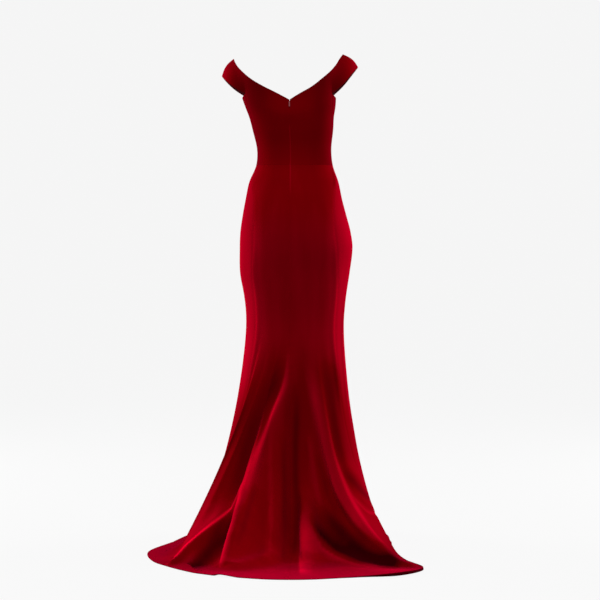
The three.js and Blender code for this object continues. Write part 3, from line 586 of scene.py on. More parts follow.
LINES = [
    # name, knee, touch x, touch y, hem x, hem y, even, late, fall, bend, lift, steps
    ("centreBack", 5.6, 8, 285, 13, 633, 0.6, 2, 3.2, 80, 0, 2),
    ("left_strip", 8.6, 66, 385, 82, 626, 1, 2, 3, 70, 0, 2),
    ("left_swell", 11, 138, 448, 150, 605, 1, 2, 3.4, 45, 0, 2),
    ("left_ridge", 13.5, 198, 482, 207, 588, 1, 2, 3.1, 30, 6, 2),
    ("left_step", 15.5, 218, 452, 228, 572, 1, 2, 4.2, 35, 0, 3),
    ("left_hollow", 20, 280, 462, 296, 526, 0.8, 2, 4.7, 35, 0, 3),
    ("left_branch", 25, 340, 405, 364, 443, 0.6, 2.4, 4.1, 26, 0, 2),
    ("left_lee", 29, 346, 330, 408, 372, 0.64, 2.2, 4.2, 40, 0, 2),
    ("left_flat", 36, 344, 200, 435, 228, 0.62, 2, 2.8, 45, 0, 3),
    ("backLeft", 49, 322, 50, 374, 60, 0.4, 2, 2, 35, 0, 4),
    ("left_side", 90, 292, -75, 322, -85, 0.4, 2, 2, 25, 0, 4),
    ("frontLeft", 130, 205, -185, 225, -205, 0.4, 2, 2, 18, 0, 4),
    ("front_dip_left", 155, 100, -200, 108, -216, 0.4, 2, 2.4, 18, 0, 3),
    ("front", 180, -5, -238, -5, -256, 0.4, 2, 2, 18, 0, 3),
    ("front_dip_right", 205, -105, -203, -112, -220, 0.4, 2, 2.4, 18, 0, 4),
    ("frontRight", 230, -200, -185, -220, -205, 0.4, 2, 2, 18, 0, 4),
    ("right_side", 270, -270, -70, -288, -78, 0.34, 2.4, 2, 22, 0, 4),
    ("backRight", 310, -282, 75, -296, 82, 0.36, 2.6, 2.4, 22, 0, 3),
    ("right_flat", 324, -292, 220, -305, 238, 0.36, 3.4, 3.2, 22, 0, 3),
    ("right_bright", 333, -300, 350, -324, 378, 0.3, 4.4, 4.6, 25, 4, 3),
    ("right_ridge", 341, -305, 440, -364, 505, 0.35, 5.5, 5, 30, 8, 3),
    ("right_crescent", 348, -215, 395, -290, 588, 0.4, 4, 5.5, 60, 10, 3),
    ("right_small", 354, -115, 275, -160, 603, 0.6, 3, 4.5, 80, 0, 2),
    ("floor_rise", 360, -38, 350, -55, 628, 0.7, 2, 5.2, 70, 0, 3),
]

LINE_NAMES = [row[0] for row in LINES]
LINE = np.array([row[1:] for row in LINES], float)
KNEE_AT, TOUCH_X, TOUCH_Y, HEM_X, HEM_Y, EVEN, LATE, FALL, BEND, LIFT, STEPS = range(11)
hem_ends = LINE[:, HEM_X : HEM_Y + 1]
LINE_GAP = np.sqrt(np.hypot(*(np.roll(hem_ends, -1, axis=0) - hem_ends).T))

# The share of the way back that a line covers evenly from the knee on
EVEN_BACK = 0.08


def around(at, column, turn=0):
    """A column of the lines' table at numbers between the lines, round the skirt."""
    n = len(LINE)
    i = np.floor(at).astype(int)
    t = at - i
    p, q, r, s = (LINE[(i + k) % n, column] + turn * np.floor_divide(i + k, n) for k in (-1, 0, 1, 2))
    before, step, after = (LINE_GAP[(i + k) % n] for k in (-1, 0, 1))
    slope_q = ((q - p) / before * step + (r - q) / step * before) / (before + step)
    slope_r = ((r - q) / step * after + (s - r) / after * step) / (step + after)
    return (
        (2 * t**3 - 3 * t**2 + 1) * q
        + (t**3 - 2 * t**2 + t) * step * slope_q
        + (3 * t**2 - 2 * t**3) * r
        + (t**3 - t**2) * step * slope_r
    )


def skirt_angle(at, z):
    """The angle of a line over the knee, in the same share between its two seams as at the knee."""
    knee = around(at, KNEE_AT, 360)
    seams = np.array([seam_angle(k, KNEE) for k in range(6)])
    k = np.clip(np.searchsorted(seams, knee + 1e-6) - 1, 0, 4)
    share = (knee - seams[k]) / (seams[k + 1] - seams[k])
    here = np.array([seam_angle(n, z) for n in range(6)])
    return mix(here[k], here[k + 1], share)


def skirt_below(at, down, out):
    """Below the knee a line falls to its touch point and then runs out on the floor to the hem."""
    start = tube_point(around(at, KNEE_AT, 360), np.full(len(at), float(KNEE)))
    even, late, fall, bend, lift = (around(at, column) for column in (EVEN, LATE, FALL, BEND, LIFT))
    touch = np.stack([around(at, TOUCH_X), around(at, TOUCH_Y)], -1)
    hem = np.stack([around(at, HEM_X), around(at, HEM_Y)], -1)
    height = KNEE - FLOOR
    sideways = even * down + (1 - even) * down**late
    backwards = EVEN_BACK * down + (1 - EVEN_BACK) * down**fall
    x = mix(mix(start[:, 0], touch[:, 0], sideways), hem[:, 0], out)
    y = mix(mix(start[:, 1], touch[:, 1], backwards), hem[:, 1], out)
    slope_x = (touch[:, 0] - start[:, 0]) * (even + (1 - even) * late)
    slope_y = (touch[:, 1] - start[:, 1]) * (EVEN_BACK + (1 - EVEN_BACK) * fall)
    steep = height / np.hypot(slope_x, slope_y)
    run = np.linalg.norm(hem - touch, axis=1)
    free = -steep * run * out if out > 0 else np.full(len(at), height * (1 - down))
    bent = np.where(free < -bend, 0, (free + bend) ** 2 / (4 * bend))
    z = np.where(free < bend, bent, free)
    return np.stack([x, y, FLOOR + CLOTH + z + lift * out**3], -1)


UPPER_ROWS, FALL_ROWS, FLOOR_ROWS = 112, 130, 52
COLUMNS_PER_STEP = 4
line_columns = LINE[:, STEPS].astype(int) * COLUMNS_PER_STEP
skirt_at = np.concatenate([k + np.arange(count) / count for k, count in enumerate(line_columns)])

# Rows lie a little closer together near the floor, where the cloth bends
CLOSER = 0.35
fall_down = np.arange(FALL_ROWS) / FALL_ROWS
fall_down = mix(fall_down, 1 - (1 - fall_down) ** 2, CLOSER)
floor_out = np.arange(FLOOR_ROWS + 1) / FLOOR_ROWS
row_down = np.concatenate([np.arange(UPPER_ROWS) / UPPER_ROWS - 1, fall_down, 1 + floor_out])
skirt_grid = []
for row in range(UPPER_ROWS):
    z = mix(-SEAM_GAP / 2, KNEE, row / UPPER_ROWS)
    skirt_grid.append(tube_point(skirt_angle(skirt_at, z), np.full(len(skirt_at), z)))
for down in fall_down:
    skirt_grid.append(skirt_below(skirt_at, down, 0))
for out in floor_out:
    skirt_grid.append(skirt_below(skirt_at, 1, out))
skirt_grid = np.array(skirt_grid)

# The cloth bends evenly from the knee into the flare
KNEE_ROUND = 16
reach = np.arange(-KNEE_ROUND, KNEE_ROUND + 1)
weights = np.cos(reach / (KNEE_ROUND + 1) * np.pi / 2) ** 2
weights /= weights.sum()
rounded = skirt_grid.copy()
for row in range(UPPER_ROWS - 2 * KNEE_ROUND, UPPER_ROWS + 2 * KNEE_ROUND):
    share = math.cos((row - UPPER_ROWS) / (2 * KNEE_ROUND) * math.pi / 2) ** 0.5
    average = np.tensordot(weights, skirt_grid[row - KNEE_ROUND : row + KNEE_ROUND + 1], 1)
    rounded[row] = mix(skirt_grid[row], average, share)
skirt_grid = rounded

skirt = Cloth()
skirt_rows = skirt.add(skirt_grid)
skirt_wrapped = np.hstack([skirt_rows, skirt_rows[:, :1]])
SKIRT_PANELS = {
    "skirt_back_left": ("centreBack", "backLeft"),
    "skirt_side_left": ("backLeft", "frontLeft"),
    "skirt_front": ("frontLeft", "frontRight"),
    "skirt_side_right": ("frontRight", "backRight"),
    "skirt_back_right": ("backRight", "centreBack"),
}
skirt_spans = {}
for panel, lines in SKIRT_PANELS.items():
    first, last = (int(line_columns[: LINE_NAMES.index(name)].sum()) for name in lines)
    skirt_spans[panel] = skirt_wrapped[:, first : (last or len(skirt_at)) + 1]
    skirt.grid(panel, skirt_spans[panel])
skirt_normals = skirt.normals()

# Folds, each along a path of (line, down) places: down is -1 at the waist, 0 at the knee, 1 at the
# floor and 2 at the hem. Height is in mm, below 0 for a trough. The two reaches, in mm, are toward
# growing and falling line numbers for a path that runs down.
FOLDS = [
    # name, height, reach on, reach back, path
    ("side seam, left", 4, 22, 9, [(9, -0.6), (9, -0.2), (9, 0.1), (9, 0.45)]),
    ("side seam, right", 4, 9, 22, [(17, -0.6), (17, -0.2), (17, 0.1), (17, 0.45)]),
    ("pucker under the waist", 2.5, 6, 10, [(17.1, -1), (17.1, -0.93), (17.1, -0.86)]),
    ("second line, right", 3, 7, 12, [(16.3, -0.3), (16.4, 0), (16.55, 0.3), (16.6, 0.5)]),
    ("flare at the foot, right", 12, 50, 50, [(17.3, 0.6), (17.3, 0.78), (17.3, 0.92), (17.2, 1.1)]),
    ("long ridge, left", 12, 13, 34, [
        (0.0, 0.0), (0.55, 0.18), (1.0, 0.27), (1.6, 0.36), (2.2, 0.46), (2.65, 0.58), (2.9, 0.72),
        (3.1, 0.85), (3.35, 0.97), (3.5, 1.2),
    ]),
    ("lee of the long ridge", -8, 20, 20, [
        (1.6, 0.1), (2.6, 0.3), (3.6, 0.5), (4, 0.7), (4.3, 0.9), (4.4, 1.2),
    ]),
    ("branch", 12, 30, 16, [(2.75, 0.66), (3.6, 0.76), (4.6, 0.85), (5.4, 0.92), (5.9, 0.98), (6.2, 1.2)]),
    ("hollow under the branch", -12, 22, 30, [(3.7, 0.82), (4.3, 0.9), (4.8, 1.0), (5.1, 1.3)]),
    ("light strip", 4, 10, 10, [(1.2, 0.5), (1.3, 0.8), (1.3, 1.0), (1.4, 1.2)]),
    ("foot of the left", 10, 30, 30, [(3, 1.2), (2, 1.08), (1, 1.0), (0.4, 0.95)]),
    ("rise of the floor", 18, 7, 50, [(23.15, 0.7), (23.2, 0.84), (23.2, 0.93), (23.2, 1.02), (23.2, 1.2)]),
    ("crescent", -10, 22, 22, [
        (22.6, 0.7), (22.2, 0.84), (21.6, 0.93), (21.1, 1.0), (20.7, 1.15), (20.5, 1.5),
    ]),
    ("long ridge, right", 9, 12, 45, [
        (21.5, 0.0), (20.9, 0.25), (20.6, 0.45), (20.58, 0.63), (20.7, 0.76), (20.5, 0.86), (20.2, 0.95),
        (20.05, 1.1), (20, 1.4), (20, 1.8),
    ]),
    ("small ridge", 4, 8, 12, [(22.4, 0.45), (22.2, 0.62), (22.0, 0.76), (21.7, 0.86)]),
    ("crease in the right", -3, 8, 8, [(18.6, 0.76), (17.6, 0.84), (16.6, 0.9)]),
    ("front fold, left", 9, 26, 32, [(12.0, 0.2), (12.1, 0.55), (12.25, 0.85), (12.3, 1.3)]),
    ("front hollow", -8, 30, 26, [(13.1, 0.4), (13.0, 0.7), (12.95, 0.95), (12.95, 1.3)]),
    ("front fold, right", 10, 30, 24, [(14.2, 0.12), (14.1, 0.5), (13.9, 0.85), (13.85, 1.3)]),
    ("side fold, left", 9, 26, 30, [(10.6, 0.3), (10.5, 0.7), (10.4, 0.95), (10.4, 1.3)]),
    ("side fold, right", 8, 28, 24, [(15.5, 0.25), (15.6, 0.6), (15.7, 0.9), (15.7, 1.3)]),
]


def place_on_skirt(line, down):
    """The point of the skirt at a line number and a place down it."""
    row = np.interp(down, row_down, np.arange(len(row_down)))
    r = min(int(row), len(row_down) - 2)
    at = np.append(skirt_at, len(LINE))
    closed = np.concatenate([skirt_grid, skirt_grid[:, :1]], axis=1)
    column = np.interp(line % len(LINE), at, np.arange(len(at)))
    c = min(int(column), len(at) - 2)
    upper = mix(closed[r, c], closed[r, c + 1], column - c)
    lower = mix(closed[r + 1, c], closed[r + 1, c + 1], column - c)
    return mix(upper, lower, row - r)


# A fold's path is followed in this many steps, where the whole way down counts as so many lines, and the
# fold fades in and out over this share of it
FOLD_STEPS, DOWN_IN_LINES, FOLD_FADE = 90, 8, 0.25


def fold(points, normals, height, reach_on, reach_back, path):
    """The lift of one fold at every point: a soft ridge along its path that fades out at both ends."""
    path = np.array(path, float)
    places = np.concatenate([[0], np.cumsum(np.hypot(*np.diff(path, axis=0).T * [[1], [DOWN_IN_LINES]]))])
    at = np.linspace(0, places[-1], FOLD_STEPS)
    lines = smooth(places, path[:, 0], at)
    downs = smooth(places, path[:, 1], at)
    spine = np.array([place_on_skirt(line, down) for line, down in zip(lines, downs)])
    low = spine.min(axis=0) - 4 * max(reach_on, reach_back)
    high = spine.max(axis=0) + 4 * max(reach_on, reach_back)
    near = np.nonzero(((points > low) & (points < high)).all(axis=1))[0]
    gap = points[near][:, None] - spine[None]
    nearest = np.argmin((gap**2).sum(axis=2), axis=1)
    along = np.gradient(spine, axis=0)[nearest]
    along /= np.linalg.norm(along, axis=1)[:, None]
    offset = gap[np.arange(len(near)), nearest]
    past = (offset * along).sum(axis=1)
    offset = offset - along * np.where((nearest > 0) & (nearest < len(spine) - 1), past, 0)[:, None]
    across = np.cross(along, normals[near])
    side = (offset * across).sum(axis=1)
    far = np.linalg.norm(offset, axis=1)
    reach = np.where(side > 0, reach_on, reach_back)
    t = nearest / (len(spine) - 1)
    fade = ease(t / FOLD_FADE) * ease((1 - t) / FOLD_FADE)
    out = np.zeros(len(points))
    out[near] = height * fade * np.exp(-((far / reach) ** 2))
    return out


# Strokes of painted light and shade, along paths like those of the folds: above 0 a painted highlight,
# which shows crimson, and below 0 painted shade, which shows dark
PAINTED_LIGHT_STROKES = [
    # name, painted light, reach on, reach back, path
    ("crest of the long ridge", 0.65, 5, 9, [
        (0.1, 0.05), (1.0, 0.25), (1.75, 0.36), (2.35, 0.46), (2.75, 0.58), (2.95, 0.72), (3.15, 0.85),
        (3.35, 0.97), (3.5, 1.3),
    ]),
    ("right of the long ridge", 0.2, 6, 36, [
        (0.1, 0.05), (1.0, 0.25), (1.75, 0.36), (2.35, 0.46), (2.75, 0.58), (2.95, 0.72), (3.1, 0.85),
    ]),
    ("left of the long ridge", -0.45, 25, 25, [
        (1.4, 0.12), (2.6, 0.28), (3.9, 0.45), (4.2, 0.6), (4.2, 0.74), (4.4, 0.85),
    ]),
    ("under the long ridge", -0.3, 12, 14, [(2.3, 0.68), (2.4, 0.75), (2.5, 0.86), (2.62, 0.95)]),
    ("crest of the branch", 1.1, 7, 5, [
        (2.95, 0.7), (3.5, 0.76), (4.3, 0.82), (4.95, 0.87), (5.42, 0.91), (5.83, 0.96), (6.25, 1.1),
        (6.4, 1.4),
    ]),
    ("above the branch", 0.25, 60, 8, [
        (3.4, 0.7), (4.5, 0.8), (5.5, 0.88), (6.2, 0.97), (6.6, 1.2), (6.6, 1.6),
    ]),
    ("dark triangle", -0.75, 24, 26, [
        (3.2, 0.76), (3.75, 0.84), (4.25, 0.9), (4.75, 0.96), (5.1, 1.05), (5.2, 1.2),
    ]),
    ("back flank, left", -0.35, 40, 40, [(8.2, 0.2), (8.2, 0.45), (8, 0.7), (7.8, 0.9), (7.6, 1.1)]),
    ("back flank, right", -0.35, 40, 40, [(17.8, 0.1), (17.9, 0.3), (18, 0.5), (18, 0.68)]),
    ("shade on the floor", -0.3, 50, 50, [(0.6, 1.2), (23.6, 1.5), (22.6, 1.6), (21.6, 1.7), (20.8, 1.8)]),
    ("light strip", 0.16, 7, 7, [(1.8, 0.4), (1.6, 0.55), (1.38, 0.68), (1.12, 0.91), (1.1, 1.1)]),
    ("dark strip", -0.5, 14, 12, [
        (23.1, 0.2), (23.15, 0.34), (23.42, 0.51), (23.55, 0.66), (23.5, 0.78), (23.65, 0.9),
        (23.8, 1.0), (23.9, 1.2),
    ]),
    ("dark strip, left", -0.3, 10, 12, [(0.6, 0.45), (0.6, 0.6), (0.5, 0.75), (0.4, 0.95)]),
    ("light triangle, left", 0.75, 4, 32, [
        (23.05, 0.74), (23.1, 0.82), (23.3, 0.9), (23.4, 1.0), (23.5, 1.3), (23.5, 1.9),
    ]),
    ("light triangle, right", 0.45, 32, 6, [
        (23.0, 0.8), (22.75, 0.9), (22.4, 1.0), (22.05, 1.15), (21.6, 1.35), (21.1, 1.5), (20.5, 1.65),
        (20.1, 1.8),
    ]),
    ("crescent", -1.0, 15, 40, [
        (22.8, 0.82), (22.5, 0.9), (21.95, 0.99), (21.55, 1.06), (21.1, 1.1), (20.5, 1.1), (19.9, 1.08),
    ]),
    ("crescent, upper", -0.5, 24, 24, [
        (22.2, 0.8), (21.7, 0.88), (21.2, 0.93), (20.8, 0.97), (20.3, 1.0), (19.7, 1.02),
    ]),
    ("crest of the right ridge", 0.5, 10, 32, [
        (21.8, 0.1), (21.3, 0.25), (20.95, 0.4), (20.75, 0.51), (20.75, 0.62), (20.7, 0.71),
        (20.45, 0.79), (20.3, 0.87), (19.83, 0.93), (18.8, 0.98),
    ]),
    ("small ridge", 0.2, 9, 9, [(22.3, 0.45), (22.25, 0.54), (22.25, 0.66), (22.12, 0.77), (21.7, 0.86)]),
    ("beside the small ridge", -0.2, 9, 9, [(21.7, 0.55), (21.6, 0.68), (21.5, 0.78), (21.1, 0.86)]),
    ("crease in the right", 0.3, 6, 6, [
        (19.2, 0.74), (18.7, 0.79), (18.2, 0.83), (17.4, 0.86), (16.8, 0.88),
    ]),
    ("above the crease", -0.5, 16, 20, [
        (18.6, 0.62), (18.2, 0.7), (17.7, 0.76), (17.1, 0.8), (16.6, 0.84),
    ]),
    ("front fold, left", 0.3, 10, 20, [(12.0, 0.2), (12.1, 0.55), (12.25, 0.85), (12.3, 1.3)]),
    ("front hollow", -0.4, 24, 22, [(13.1, 0.4), (13.0, 0.7), (12.95, 0.95), (12.95, 1.3)]),
    ("front fold, right", 0.3, 20, 10, [(14.2, 0.12), (14.1, 0.5), (13.9, 0.85), (13.85, 1.3)]),
    ("side fold, left", 0.3, 10, 16, [(10.6, 0.3), (10.5, 0.7), (10.4, 0.95), (10.4, 1.3)]),
    ("side fold, right", 0.3, 14, 10, [(15.5, 0.25), (15.6, 0.6), (15.7, 0.9), (15.7, 1.3)]),
    ("gleam beside the seam, left", 0.3, 3, 34, [
        (9, -0.75), (9, -0.5), (9, -0.1), (8.95, 0.15), (8.9, 0.3),
    ]),
    ("gleam beside the seam, right", 0.25, 34, 3, [
        (17, -0.75), (17, -0.5), (17, -0.1), (17.05, 0.15), (17.1, 0.3),
    ]),
    ("side seam, left", 0.3, 4, 5, [(9, -0.4), (9, -0.1), (9, 0.1), (8.95, 0.25), (8.9, 0.45)]),
    ("side seam, right", 0.3, 5, 4, [(17, -0.4), (17, -0.1), (17, 0.1), (17.05, 0.25), (17.1, 0.45)]),
]

# Painted light lightens the velvet a little from the waist to the knee, between these heights. The side
# panels get more, a painted sheen down to the knee, most of all at it, and no more than the rest below
# the middle of the flare.
HIP_PAINTED_LIGHT, HIP_TOP, HIP_TOP_FADE, HIP_FOOT, HIP_FOOT_FADE = 0.2, -90, 170, -660, 160
SIDE_HIP_PAINTED_SHEEN, SIDE_KNEE_PAINTED_SHEEN = 0.18, 0.42
SIDE_KNEE, SIDE_KNEE_FADE, SIDE_FOOT, SIDE_FOOT_FADE = -0.05, 0.3, 0.05, 0.5
z = skirt.points[:, 2]
painted_light = HIP_PAINTED_LIGHT * ease((HIP_TOP - z) / HIP_TOP_FADE) * ease((z - HIP_FOOT) / HIP_FOOT_FADE)
painted_light += zip_gleam(skirt.points)
# Each stroke of painted light and shade takes the shape of a fold's lift
for name, stroke_paint, reach_on, reach_back, path in PAINTED_LIGHT_STROKES:
    painted_light += fold(skirt.points, skirt_normals, stroke_paint, reach_on, reach_back, path)
side_painted_sheen = mix(SIDE_HIP_PAINTED_SHEEN, SIDE_KNEE_PAINTED_SHEEN, ease((row_down - SIDE_KNEE) / SIDE_KNEE_FADE))
side_painted_sheen -= SIDE_KNEE_PAINTED_SHEEN * ease((row_down - SIDE_FOOT) / SIDE_FOOT_FADE)
side_painted_sheen = np.repeat(side_painted_sheen, len(skirt_at))

# The folds lose their height over the last of the way to the hem, which lies flat
HEM_FADE = 0.6
lift = np.zeros(len(skirt.points))
for name, height, reach_on, reach_back, path in FOLDS:
    lift += fold(skirt.points, skirt_normals, height, reach_on, reach_back, path)
lift *= np.repeat(ease((2 - row_down) / HEM_FADE), len(skirt_at))
skirt.points += skirt_normals * lift[:, None]
skirt.points[:, 2] = np.maximum(skirt.points[:, 2], FLOOR + CLOTH)

# Where the hem lifts off the floor its turned edge rolls under, and painted shade makes it a dark line:
# along the right of the train, between two lines, and in a short stretch at the foot of the left ridge
ROLL_FIRST, ROLL_FIRST_FADE, ROLL_LAST, ROLL_LAST_FADE = 19.3, 0.5, 23, 2
ROLL_LEFT, ROLL_LEFT_WIDTH = 3.7, 0.5
ROLL_DOWN, EDGE_PAINTED_SHADE, NEAR_EDGE_PAINTED_SHADE = 0.85, 2, 0.6
rolled_with_painted_shade = ease((skirt_at - ROLL_FIRST) / ROLL_FIRST_FADE) * ease((ROLL_LAST - skirt_at) / ROLL_LAST_FADE)
rolled_with_painted_shade += np.exp(-(((skirt_at - ROLL_LEFT) / ROLL_LEFT_WIDTH) ** 2))
edge, near_edge = skirt_rows[-1], skirt_rows[-2]
skirt.points[edge, 2] = mix(skirt.points[edge, 2], FLOOR + CLOTH, ROLL_DOWN * rolled_with_painted_shade)
# Painted shade darkens the edge row and the row above it
painted_light[edge] -= EDGE_PAINTED_SHADE * rolled_with_painted_shade
painted_light[near_edge] -= NEAR_EDGE_PAINTED_SHADE * rolled_with_painted_shade

SKIRT_SEAM_WIDTH = 2.6
skirt_normals = skirt.normals()
skirt_worn = groove(skirt, skirt.points, skirt_normals, SEAM_DEPTH, SKIRT_SEAM_WIDTH)
for panel, rows in skirt_spans.items():
    # Painted light and shade, and on the side panels their painted sheen
    panel_painted_light = painted_light + (side_painted_sheen if "side" in panel else 0)
    piece, area = panel_object(skirt, skirt_worn, skirt_normals, panel, panel_painted_light, FLOOR)

# Zip tape: the woven polyester tape of the invisible zip, stitched behind the centre-back seam, with its
# nylon coil along the middle on the inner side. It hides behind the closed velvet.
TAPE_HALF, TAPE_THICK, TAPE_DEPTH, ZIP_LENGTH = 12, 0.5, 1.9, 356
TAPE_ROWS, TAPE_REACH = 240, 40
RIB = 1.1


def across_seam(cloth, normals, rows, mirrored):
    """Three (point, normal) places on each row: the tape's right edge, its middle and its left edge."""
    places = []
    for left, right in zip(rows, mirrored):
        middle = cloth.points[left[0]]
        place = [(middle, normals[left[0]])]
        for row in (left, right):
            gap = np.linalg.norm(cloth.points[row] - middle, axis=1)
            k = int(np.argmax(gap > TAPE_HALF))
            share = TAPE_HALF / gap[k]
            normal = mix(normals[row[0]], normals[row[k]], share)
            place.append((mix(middle, cloth.points[row[k]], share), normal))
        places.append((place[2], place[0], place[1]))
    return places


upper_skirt = skirt_wrapped[:UPPER_ROWS]
tape_places = np.array(
    across_seam(bodice, bodice_normals, left_rows[:, :TAPE_REACH], right_rows[:, :TAPE_REACH])
    + across_seam(bodice, bodice_normals, wrapped[:, :TAPE_REACH], wrapped[:, :-TAPE_REACH:-1])
    + across_seam(skirt, skirt_normals, upper_skirt[:, :TAPE_REACH], upper_skirt[:, :-TAPE_REACH:-1])
)
tape_places = tape_places[np.argsort(-tape_places[:, 1, 0, 2])]
tape_z = np.linspace(ZIP_TOP, ZIP_TOP - ZIP_LENGTH, TAPE_ROWS)
fallen = -tape_places[:, 1, 0, 2]
tape_at = np.apply_along_axis(lambda values: np.interp(-tape_z, fallen, values), 0, tape_places)
tape_normal = tape_at[:, :, 1] / np.linalg.norm(tape_at[:, :, 1], axis=2)[:, :, None]
tape_outer = tape_at[:, :, 0] - tape_normal * TAPE_DEPTH
tape_inner = tape_outer - tape_normal * TAPE_THICK
verts = np.concatenate([tape_outer, tape_inner[:, ::-1]], axis=1).reshape(-1, 3) / 1000
around_tape = 6
faces = []
for row in range(len(tape_z) - 1):
    for k in range(around_tape):
        a, b = row * around_tape + k, row * around_tape + (k + 1) % around_tape
        faces.append((b, a, a + around_tape, b + around_tape))
faces += [tuple(range(around_tape)), tuple(len(verts) - 1 - k for k in range(around_tape))]
mesh = bpy.data.meshes.new("zip_tape")
mesh.from_pydata(verts.tolist(), [], faces)
mesh.update()
tape = bpy.data.objects.new("zip_tape_woven", mesh)
bpy.context.collection.objects.link(tape)

# Woven polyester, dull, dyed to the velvet's shade, with fine ribs across it every 1.1 mm
TAPE = bpy.data.materials.new("woven polyester tape")
TAPE.use_nodes = True
tree = TAPE.node_tree
shader = tree.nodes["Principled BSDF"]
place = add(tree, "ShaderNodeTexCoord").outputs["Object"]
ribs = add(tree, "ShaderNodeTexWave", [("Vector", place)], bands_direction="Z", Distortion=0.3)
ribs.inputs["Scale"].default_value = 1000 / RIB / math.tau
dyed = ramp(tree, ribs.outputs["Fac"], [(0.2, "#4a0008"), (0.8, "#640010")])
tree.links.new(dyed, shader.inputs["Base Color"])
shader.inputs["Roughness"].default_value = 0.75
bump = add(tree, "ShaderNodeBump", [("Height", ribs.outputs["Fac"])], Strength=0.5, Distance=0.0002)
tree.links.new(bump.outputs["Normal"], shader.inputs["Normal"])
mesh.materials.append(TAPE)
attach(tape, "gown")
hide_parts("zip_tape")

# Zip coil: one nylon wire wound back and forth along the tape's middle, its turns hooked into each other.
# It is drawn as one round bar for each turn, sunk a little into the tape, with its ends rounded off.
COIL_PITCH, COIL_WIRE, COIL_HALF = 1.5, 0.35, 2.1
COIL_FROM_TOP, COIL_FROM_FOOT, COIL_SUNK = 2, 6, 0.1
COIL_END, COIL_END_SHARE = 0.2, 0.6
COIL_ROUND = 8
turns = [k * math.tau / COIL_ROUND for k in range(COIL_ROUND)]
round_bar = [(math.cos(turn), math.sin(turn)) for turn in turns]
verts, faces = [], []
for z in np.arange(ZIP_TOP - COIL_FROM_TOP, ZIP_TOP - ZIP_LENGTH + COIL_FROM_FOOT, -COIL_PITCH):
    middle = np.array([np.interp(-z, -tape_z, tape_inner[:, 1, axis]) for axis in range(3)])
    inward = -np.array([np.interp(-z, -tape_z, tape_normal[:, 1, axis]) for axis in range(3)])
    centre = middle + inward * COIL_WIRE * (1 - COIL_SUNK)
    base = len(verts)
    for x in (-COIL_HALF, -COIL_HALF + COIL_END, COIL_HALF - COIL_END, COIL_HALF):
        radius = COIL_WIRE * (COIL_END_SHARE if abs(x) == COIL_HALF else 1)
        verts += [centre + (x, radius * u, radius * v) for u, v in round_bar]
    for start in range(base, base + 3 * COIL_ROUND, COIL_ROUND):
        for k in range(COIL_ROUND):
            a, b = start + k, start + (k + 1) % COIL_ROUND
            faces.append((a, b, b + COIL_ROUND, a + COIL_ROUND))
    faces.append(tuple(base + k for k in reversed(range(COIL_ROUND))))
    faces.append(tuple(base + 3 * COIL_ROUND + k for k in range(COIL_ROUND)))
mesh = bpy.data.meshes.new("zip_coil")
mesh.from_pydata((np.array(verts) / 1000).tolist(), [], faces)
mesh.polygons.foreach_set("use_smooth", [True] * len(faces))

# Dyed nylon wire, smooth and a little glossy
NYLON = bpy.data.materials.new("dyed nylon coil")
NYLON.use_nodes = True
nylon = NYLON.node_tree.nodes["Principled BSDF"]
nylon.inputs["Base Color"].default_value = linear("#5a0410")
nylon.inputs["Roughness"].default_value = 0.4
mesh.materials.append(NYLON)
coil = bpy.data.objects.new("zip_coil", mesh)
bpy.context.collection.objects.link(coil)
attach(coil, "gown")

# Slider and pull: die-cast zinc with a muted red lacquer. The pull's tab hangs from a pin through the
# lug's eye. Both are the solids of the frame with the sharp edges of the casting broken.
BROKEN_EDGE = 0.18

# Muted red lacquer, half glossy, with paler worn patches about a millimetre wide
LACQUER = bpy.data.materials.new("lacquered zinc")
LACQUER.use_nodes = True
tree = LACQUER.node_tree
shader = tree.nodes["Principled BSDF"]
place = add(tree, "ShaderNodeTexCoord").outputs["Object"]
wear = add(tree, "ShaderNodeTexNoise", [("Vector", place)], Scale=1 / 0.0012, Detail=3)
worn = ramp(tree, wear.outputs["Fac"], [(0.35, "#8c3c44"), (0.7, "#a8585c")])
tree.links.new(worn, shader.inputs["Base Color"])
shader.inputs["Metallic"].default_value = 0.15
shader.inputs["Roughness"].default_value = 0.38
for name in ("zip_slider", "zip_pull"):
    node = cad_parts[name]
    node.data.materials.clear()
    node.data.materials.append(LACQUER)
    edges = node.modifiers.new("broken edges", "BEVEL")
    edges.width = BROKEN_EDGE / 1000
    edges.segments = 2
    edges.limit_method = "ANGLE"

# The studio: white paper on the floor that shows almost even, two soft lights at the sides, a little in
# front of the gown, which make the turned-away cloth bright, one overhead that brightens the cloth that
# faces up, and a dim soft fill from all round.
FLOOR_HALF = 40000
FLOOR_BELOW = 0.5
floor = bpy.data.meshes.new("floor")
half, level = FLOOR_HALF / 1000, (FLOOR - FLOOR_BELOW) / 1000
corners = [(x * half, y * half, level) for x, y in ((-1, -1), (1, -1), (1, 1), (-1, 1))]
floor.from_pydata(corners, [], [(0, 1, 2, 3)])

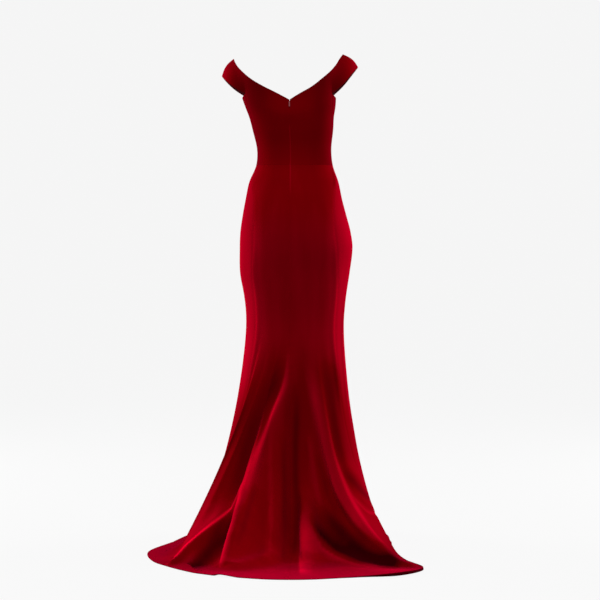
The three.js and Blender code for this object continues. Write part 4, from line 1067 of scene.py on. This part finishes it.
# White studio paper, lit so that it shows even and almost white, with a trace of shadow by the gown
PAPER = bpy.data.materials.new("white paper")
PAPER.use_nodes = True
paper = PAPER.node_tree.nodes["Principled BSDF"]
paper.inputs["Base Color"].default_value = (0.03, 0.03, 0.03, 1)
paper.inputs["Roughness"].default_value = 1
paper.inputs["Specular IOR Level"].default_value = 0
paper.inputs["Emission Color"].default_value = (1, 1, 1, 1)
paper.inputs["Emission Strength"].default_value = 0.905
floor.materials.append(PAPER)
floor_object = bpy.data.objects.new("floor", floor)
bpy.context.collection.objects.link(floor_object)
floor_object.visible_diffuse = False

world = bpy.data.worlds.new("white studio")
bpy.context.scene.world = world
world.use_nodes = True
air = world.node_tree
seen = add(air, "ShaderNodeLightPath").outputs["Is Camera Ray"]
strength = add(air, "ShaderNodeMapRange", [("Value", seen)], To_Min=0.34, To_Max=0.915)
air.links.new(strength.outputs["Result"], air.nodes["Background"].inputs["Strength"])
air.nodes["Background"].inputs["Color"].default_value = (1, 1, 1, 1)


def soft_light(name, place, target, width, height, power):
    """A rectangular soft light that faces its target."""
    light = bpy.data.lights.new(name, "AREA")
    light.shape = "RECTANGLE"
    light.size = width
    light.size_y = height
    light.energy = power
    lamp = bpy.data.objects.new(name, light)
    bpy.context.collection.objects.link(lamp)
    lamp.location = place
    lamp.rotation_euler = (Vector(target) - Vector(place)).to_track_quat("-Z", "Y").to_euler()


soft_light("left strip", (3.2, -1.3, -0.15), (0, 0, -0.3), 1.6, 1.5, 185)
soft_light("right strip", (-3.2, -1.3, -0.15), (0, 0, -0.3), 1.6, 1.5, 185)
soft_light("overhead", (0, 1.44, 3.3), (0, 0.2, -0.5), 1.6, 1.6, 100)

bpy.context.scene.view_settings.view_transform = "Standard"

# The camera stands where the photo was taken from: 5 m behind the gown, a little below its waist, looking
# down by a small angle. The photo's own frame gives its lens.
LOOKING_DOWN = 1.779
camera = bpy.data.cameras.new("camera")
camera.lens = 96.6
camera.sensor_width = 36
camera_object = bpy.data.objects.new("camera", camera)
bpy.context.collection.objects.link(camera_object)
camera_object.location = (-0.017, 5.0, -0.261)
camera_object.rotation_euler = (math.radians(90 - LOOKING_DOWN), 0, math.radians(180))
bpy.context.scene.camera = camera_object
